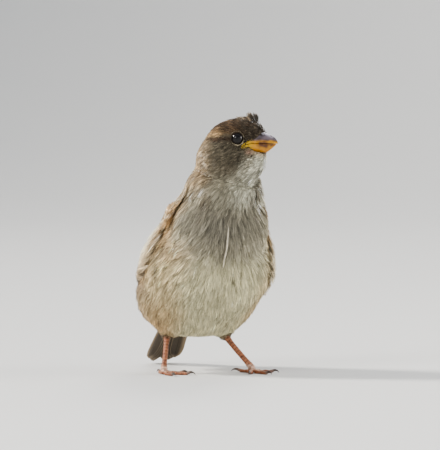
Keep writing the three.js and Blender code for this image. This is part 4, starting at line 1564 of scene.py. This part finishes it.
def wing_points(side, s, c, height):
    """
    Points of the folded wing: s runs from shoulder to tip, c from its upper to its lower edge. The edges
    are angles round the wing's line, in degrees from straight back towards the side.
    """
    s, c = np.asarray(s, float), np.asarray(c, float)
    sign = SIDES[side]
    axis = WING_LINE.at(np.clip(s, 0, 1)) + np.minimum(s, 0)[:, None] * WING_LINE.along(0 * s) * WING_LENGTH
    down = WING_LINE.along(s)
    across = np.array([sign, 0.0, 0.0])
    back = np.cross(across, down) * sign
    upper = lerp(52, 14, smooth(s, -0.1, 0.4))
    lower = lerp(lerp(74, WING_FRONT[side], smooth(s, -0.06, 0.28)), 46, smooth(s, 0.4, 1))
    turn = np.radians(lerp(upper, lower, c))[:, None]
    return surface_on(axis, np.cos(turn) * back + np.sin(turn) * across, np.full(len(s), height))


def on_body(points, heights):
    """Puts points at heights over the plumage's form."""
    return settle(points, heights, steps=2)[0]


def wing_vane(side, start, end, half_width, height, tilt, tip):
    """A feather of the folded wing from one (s, c) place to another."""
    t = np.linspace(0, 1, VANE_ROWS)
    path = wing_points(side, lerp(start[0], end[0], t), lerp(start[1], end[1], t**1.15), WING_CLEARANCE)
    path, normals = settle(path, height, steps=1)
    return vane(path, normals, half_width, height, tilt * SIDES[side], tip, on_body)


# Rows of stiff feathers laid side by side, from the lower edge of the wing upwards. start and end are the
# (s, c) places where a row's first and last feather begin and end, and half_width and height are those of
# its first and last feather. tip is the share of a feather that its rounded end takes; rim and pale_tip
# are the shares that its pale edges take.
WING_ROWS = {
    "primaries": {
        "count": 7, "start": [(0.34, 0.98), (0.46, 0.7)], "end": [(0.76, 0.93), (0.99, 0.45)],
        "half_width": (2.3, 2.5), "height": (0.7, 0.9), "tip": 0.34,
        "body": WING_DARK, "edge": WING_EDGE, "rim": 0.1, "pale_tip": 0.03,
    },
    "secondaries": {
        "count": 6, "start": [(0.22, 0.96), (0.26, 0.5)], "end": [(0.68, 0.91), (0.74, 0.62)],
        "half_width": (2.9, 3.2), "height": (0.85, 1.05), "tip": 0.2,
        "body": WING_DARK, "edge": WING_EDGE, "rim": 0.2, "pale_tip": 0.04,
    },
    "tertials": {
        "count": 3, "start": [(0.26, 0.55), (0.2, 0.2)], "end": [(0.76, 0.52), (0.62, 0.34)],
        "half_width": (4.4, 4.0), "height": (1.1, 1.35), "tip": 0.3,
        "body": WING_DARK, "edge": WING_EDGE, "rim": 0.3, "pale_tip": 0.08,
    },
    "primary_coverts": {
        "count": 4, "start": [(0.22, 0.96), (0.24, 0.86)], "end": [(0.46, 0.94), (0.44, 0.82)],
        "half_width": (1.8, 2.0), "height": (1.0, 1.15), "tip": 0.3,
        "body": WING_DARK, "edge": WING_EDGE, "rim": 0.16, "pale_tip": 0.05,
    },
    "greater_coverts": {
        "count": 9, "start": [(0.12, 0.93), (0.1, 0.12)], "end": [(0.4, 0.88), (0.4, 0.22)],
        "half_width": (2.6, 3.0), "height": (1.2, 1.35), "tip": 0.3,
        "body": WING_DARK, "edge": MANTLE_BUFF, "rim": 0.34, "pale_tip": 0.1,
    },
    "median_coverts": {
        "count": 8, "start": [(0.06, 0.9), (0.02, 0.12)], "end": [(0.24, 0.9), (0.22, 0.14)],
        "half_width": (2.5, 2.8), "height": (1.35, 1.5), "tip": 0.36,
        "body": DARK_BROWN, "edge": COVERT_TIP, "rim": 0.2, "pale_tip": 0.4,
    },
}


def make_vanes(side, material):
    """The stiff feathers of one folded wing."""
    random = np.random.default_rng(SEEDS["wing"] + SIDES[side])
    vanes = []
    for feathers in WING_ROWS.values():
        start, end = np.array(feathers["start"]), np.array(feathers["end"])
        for k in range(feathers["count"]):
            t = k / (feathers["count"] - 1)
            first = tuple(lerp(*start, t) + random.normal(0, 0.006, 2))
            last = tuple(lerp(*end, t) + random.normal(0, 0.008, 2))
            half_width, height = lerp(*feathers["half_width"], t), lerp(*feathers["height"], t)
            shape = wing_vane(side, first, last, half_width, height, 0.14, feathers["tip"])
            shade = random.normal(1, 0.06)
            body, edge = feathers["body"] * shade, feathers["edge"] * shade
            vanes.append((shape, body, edge, (feathers["rim"],) * 2, feathers["pale_tip"]))
    put_vanes(f"wing_{side}_vanes", "wing_feathers", vanes, material, f"wing_{side}")


def wing_covers(side, count, s_range, c_range, turn, seed):
    """
    Soft feathers over a stretch of the wing, turned this much across it: where they start, the way they
    lie, the form's normals there, and their s and c places.
    """
    random = np.random.default_rng(seed + SIDES[side])
    s, c = random.uniform(*s_range, count), random.uniform(*c_range, count)
    spots = wing_points(side, s, c, WING_CLEARANCE)
    ahead = wing_points(side, s + 0.03, c + turn, WING_CLEARANCE)
    spots, normals = settle(spots, WING_CLEARANCE, steps=1)
    lie = unit(ahead - spots)
    lie = lie + random.normal(0, 0.12, (count, 1)) * np.cross(normals, lie)
    return spots, along_form(lie, normals), normals, s, c


def make_lesser(side, random, material):
    """Brown coverts over the bend of the wing."""
    stretch = {"count": 330, "s_range": (-0.05, 0.12), "c_range": (-0.1, 1.0), "turn": 0.0}
    spots, lie, normals, s, c = wing_covers(side, seed=SEEDS["lesser"], **stretch)
    brown = mix(TAN, WING_EDGE * 0.72, smooth(noise(spots, 4.0), -0.3, 0.3))
    lift = random.uniform(1.7, 2.2, len(spots)) * smooth(s, -0.12, 0.02) * (1 - 0.25 * smooth(c, 0.6, 0.9))
    more = {"root": 0.5, "tip": lift, "streak": 0.55, "colour": brown}
    lesser = flock(spots, lie, normals, random.uniform(4.6, 6.0, len(spots)), **more)
    put_feathers("lesser", lesser, material, side)


def make_scapulars(side, random, material):
    """Streaked feathers of the shoulder blade, over the wing's upper edge."""
    stretch = {"count": 300, "s_range": (-0.08, 0.27), "c_range": (-0.75, 0.12), "turn": 0.012}
    spots, lie, normals, s, c = wing_covers(side, seed=SEEDS["scapular"], **stretch)
    lift = random.uniform(1.4, 2.1, len(spots)) * smooth(c, -0.8, -0.2)
    rows = mantle_rows(spots, normals)
    colour = mix(mix(MANTLE_BUFF, RUMP, 0.4 * smooth(s, 0.05, 0.25)), DARK_BROWN, 0.6 * rows)
    more = {"root": -0.4, "tip": 0.3 + lift, "streak": 0.35 + 0.6 * rows, "colour": colour}
    scapulars = flock(spots, lie, normals, random.uniform(7.0, 9.5, len(spots)), **more)
    put_feathers("scapular", scapulars, material, side)


def make_shoulder(side, random, material):
    """Streaky feathers that lead from the neck over the wing's front edge."""
    stretch = {"count": 380, "s_range": (-0.3, 0.0), "c_range": (-0.2, 1.1), "turn": 0.0}
    spots, lie, normals, s, _ = wing_covers(side, seed=SEEDS["shoulder"], **stretch)
    more = {"root": -1.2, "tip": random.uniform(1.9, 2.6, len(spots)) * smooth(s, -0.36, -0.14)}
    more |= {"colour": streaky(coat_colour(spots, normals), 0.7, random), "fleck": 0.42, "width": 1.3}
    shoulder = flock(spots, lie, normals, random.uniform(7.0, 9.0, len(spots)), **more)
    put_feathers("shoulder", shoulder, material, side)


# How thickly the flank feathers lie over the edge of each wing.
FLANK_COUNT = {"left": 280, "right": 560}


def make_flank(side, random, material):
    """Pale ruffled feathers of the flank, over the wing's lower edge."""
    stretch = {"count": FLANK_COUNT[side], "s_range": (-0.04, 0.66), "c_range": (0.93, 1.16), "turn": -0.05}
    spots, lie, normals, s, c = wing_covers(side, seed=SEEDS["flank"], **stretch)
    lift = random.uniform(1.9, 2.7, len(spots)) * smooth(s, -0.14, 0.04) * (1 - 0.5 * smooth(s, 0.4, 0.66))
    tan = smooth(s + 0.08 * noise(spots, 3.0), 0.26, 0.5) + 0.6 * smooth(c, 1.03, 1.14)
    colour = mix(FLANK_WHITE, coat_colour(spots, normals), np.clip(tan, 0, 1))
    more = {"root": -0.8, "tip": lift, "ruffle": 2.2, "width": 1.4, "fleck": 0.36, "colour": colour}
    flank = flock(spots, lie, normals, random.uniform(6.5, 9.5, len(spots)), **more)
    put_feathers("flank", flank, material, side)


def make_covers(side, material):
    """Every soft feather over one wing and its edges."""
    random = np.random.default_rng(SEEDS["covers"] + SIDES[side])
    for make in (make_lesser, make_scapulars, make_shoulder, make_flank):
        make(side, random, material)


# ------------------------------------------------------------------ tail

TAIL_DOWN = np.array([0.0, math.cos(math.radians(TAIL_PITCH)), -math.sin(math.radians(TAIL_PITCH))])
TAIL_UP = np.array([0.0, math.sin(math.radians(TAIL_PITCH)), math.cos(math.radians(TAIL_PITCH))])
TAIL_PAIRS = 6


def on_tail(points, heights):
    """Puts points at heights over the tail's arched middle sheet."""
    away = points - TAIL_BASE
    reach = np.clip(away @ TAIL_DOWN / TAIL_LENGTH, 0, 1)
    across = points[:, 0] - TAIL_BASE[0]
    arch = -1.6 * (across / lerp(4.6, TAIL_TIP_HALF_WIDTH, reach**0.8)) ** 2
    return points + (arch + heights - away @ TAIL_UP)[:, None] * TAIL_UP


def make_tail(material):
    """Twelve feathers folded over each other, the middle pair on top."""
    random = np.random.default_rng(SEEDS["tail"])
    vanes = []
    t = np.linspace(0, 1, VANE_ROWS)
    for pair in reversed(range(TAIL_PAIRS)):
        for sign in (-1, 1):
            share = pair / (TAIL_PAIRS - 1)
            half_width = lerp(3.7, 3.2, share)
            offset = lerp(0.9, TAIL_TIP_HALF_WIDTH - half_width, share)
            length = TAIL_LENGTH * (0.955 + 0.035 * math.sin(math.pi * min(1, share * 1.3)) - 0.03 * share**4)
            x = sign * lerp(offset * 0.35, offset, t**0.8)
            path = TAIL_BASE + x[:, None] * np.array([1.0, 0, 0]) + (length * t)[:, None] * TAIL_DOWN
            height = lerp(0.5, -0.45, share) + 0.04 * sign
            path = on_tail(path, np.full(VANE_ROWS, height))
            normals = np.broadcast_to(TAIL_UP, path.shape)
            shape = vane(path, normals, half_width, height, 0.1 * sign, 0.16, on_tail)
            shade = random.normal(1, 0.05)
            outer = 0.1 + 0.24 * share**3
            rim = (outer, 0.07) if sign > 0 else (0.07, outer)
            vanes.append((shape, TAIL_DARK * shade, TAIL_EDGE * shade, rim, 0.03))
    put_vanes("tail_vanes", "tail_feathers", vanes, material, "tail")


# ------------------------------------------------------------------ stage, light and camera

CAMERA_AZIMUTH = math.radians(-22)
CAMERA_ELEVATION = math.radians(2.5)
CAMERA_DISTANCE = 1600.0
PIXELS_PER_MM = 2.12
PHOTO_SIZE = (440, 450)
SENSOR = 36.0
LOOK_RIGHT = 6.13  # how far right of and over the bird's own origin the picture's middle is
LOOK_UP = 70.3


def make_camera():
    """The photograph's view, from far enough away to be nearly flat."""
    toward = np.array(
        [
            math.sin(CAMERA_AZIMUTH) * math.cos(CAMERA_ELEVATION),
            -math.cos(CAMERA_AZIMUTH) * math.cos(CAMERA_ELEVATION),
            math.sin(CAMERA_ELEVATION),
        ]
    )
    right = np.array([math.cos(CAMERA_AZIMUTH), math.sin(CAMERA_AZIMUTH), 0.0])
    target = right * LOOK_RIGHT + UP * LOOK_UP
    camera = add_object("camera", bpy.data.cameras.new("camera"))
    camera.location = (target + toward * CAMERA_DISTANCE + SHIFT) / 1000
    camera.rotation_mode = "QUATERNION"
    camera.rotation_quaternion = Vector(-toward).to_track_quat("-Z", "Y")
    camera.data.sensor_width = SENSOR
    camera.data.lens = SENSOR * CAMERA_DISTANCE * PIXELS_PER_MM / max(PHOTO_SIZE)
    camera.data.clip_start = 0.05
    camera.data.clip_end = 50
    bpy.context.scene.camera = camera


LIT_POINT = (0, 0, 0.06)


def lamp(name, kind, place, power, colour, **settings):
    """A light that looks at the bird, in metres and watts."""
    data = bpy.data.lights.new(name, kind)
    data.energy = power
    data.color = colour
    for key, value in settings.items():
        setattr(data, key, value)
    light = add_object(name, data)
    light.location = place
    light.rotation_mode = "QUATERNION"
    light.rotation_quaternion = (Vector(LIT_POINT) - Vector(place)).to_track_quat("-Z", "Y")


# Lengths of the stage are metres.
FLOOR_RADIUS = 1.7
BEND_RADIUS = 2.6
WALL_TOP = 2.7
FLOOR_RINGS = [0.0005, 0.4, 1.0]
FLOOR_PALE = (0.62, 0.62, 0.61, 1)
SKY_PALE = (0.86, 0.91, 1.0, 1)
SKY_STRENGTH = 0.65
WARM = (1.0, 0.96, 0.9)


def make_floor():
    """A pale floor that bends up into a pale wall all round."""
    turn = np.linspace(0, np.pi / 2, 16)
    bend = FLOOR_RADIUS + BEND_RADIUS * np.sin(turn)
    reach = np.concatenate([FLOOR_RINGS, bend, [FLOOR_RADIUS + BEND_RADIUS]])
    height = np.concatenate([[0, 0, 0], BEND_RADIUS * (1 - np.cos(turn)), [WALL_TOP]])
    around = np.linspace(0, 2 * np.pi, 96, endpoint=False)
    flat = [np.outer(reach, np.cos(around)), np.outer(reach, np.sin(around))]
    rings = np.stack([*flat, height[:, None] + 0 * around], -1)
    floor = mesh_of("floor", rings * 1000 - SHIFT, grid_faces(len(reach), len(around), closed=True))
    shader = Shader("floor", Roughness=0.9, Specular_IOR_Level=0.15)
    shader.main.inputs["Base Color"].default_value = FLOOR_PALE
    floor.data.materials.append(shader.material)


def make_light():
    """Soft lights and an even pale sky."""
    world = bpy.data.worlds.new("sky")
    world.use_nodes = True
    sky = world.node_tree.nodes["Background"]
    sky.inputs["Color"].default_value = SKY_PALE
    sky.inputs["Strength"].default_value = SKY_STRENGTH
    bpy.context.scene.world = world
    bpy.context.scene.view_settings.look = "AgX - Medium High Contrast"
    lamp("key", "SUN", (-0.8, 0.35, 0.75), 4.0, WARM, angle=math.radians(12))
    lamp("fill", "AREA", (-0.93, -0.46, 0.62), 5, (1.0, 0.98, 0.95), size=0.4)
    lamp("side", "AREA", (0.95, -0.35, 0.35), 6, (1.0, 0.97, 0.93), size=0.5)
    lamp("rim", "SUN", (0.6, 0.8, 0.95), 1.2, WARM, angle=math.radians(25))


# ------------------------------------------------------------------ the whole bird


def build():
    """Makes every piece, with its light and camera."""
    make_camera()
    make_floor()
    make_light()
    coat = coat_material()
    points, normals, faces = make_skin()
    skin = mesh_of("skin", points, faces)
    # The skin takes the coat's markings at 0.55 brightness: painted shade under the feathers.
    colour_points(skin, coat_colour(points, normals) * 0.55)
    skin_look = skin_material()
    put(skin, "trunk_plumage", skin_look, "trunk", "neck", "head", "thigh_left", "thigh_right")
    make_coat(points, faces, coat)
    make_parting(coat)
    random = np.random.default_rng(SEEDS["crest"])
    make_crest(random, coat)
    make_bristles(random, coat)
    make_bill()
    eye, leg = eye_material(), leg_material()
    claw, vane_look = horn_material("claw_horn", 0.4), vane_material()
    for name, sign in SIDES.items():
        make_eye(name, sign, eye, skin_look, coat)
        make_leg(name, leg, claw)
        make_vanes(name, vane_look)
        make_covers(name, coat)
    make_tail(vane_look)


build()
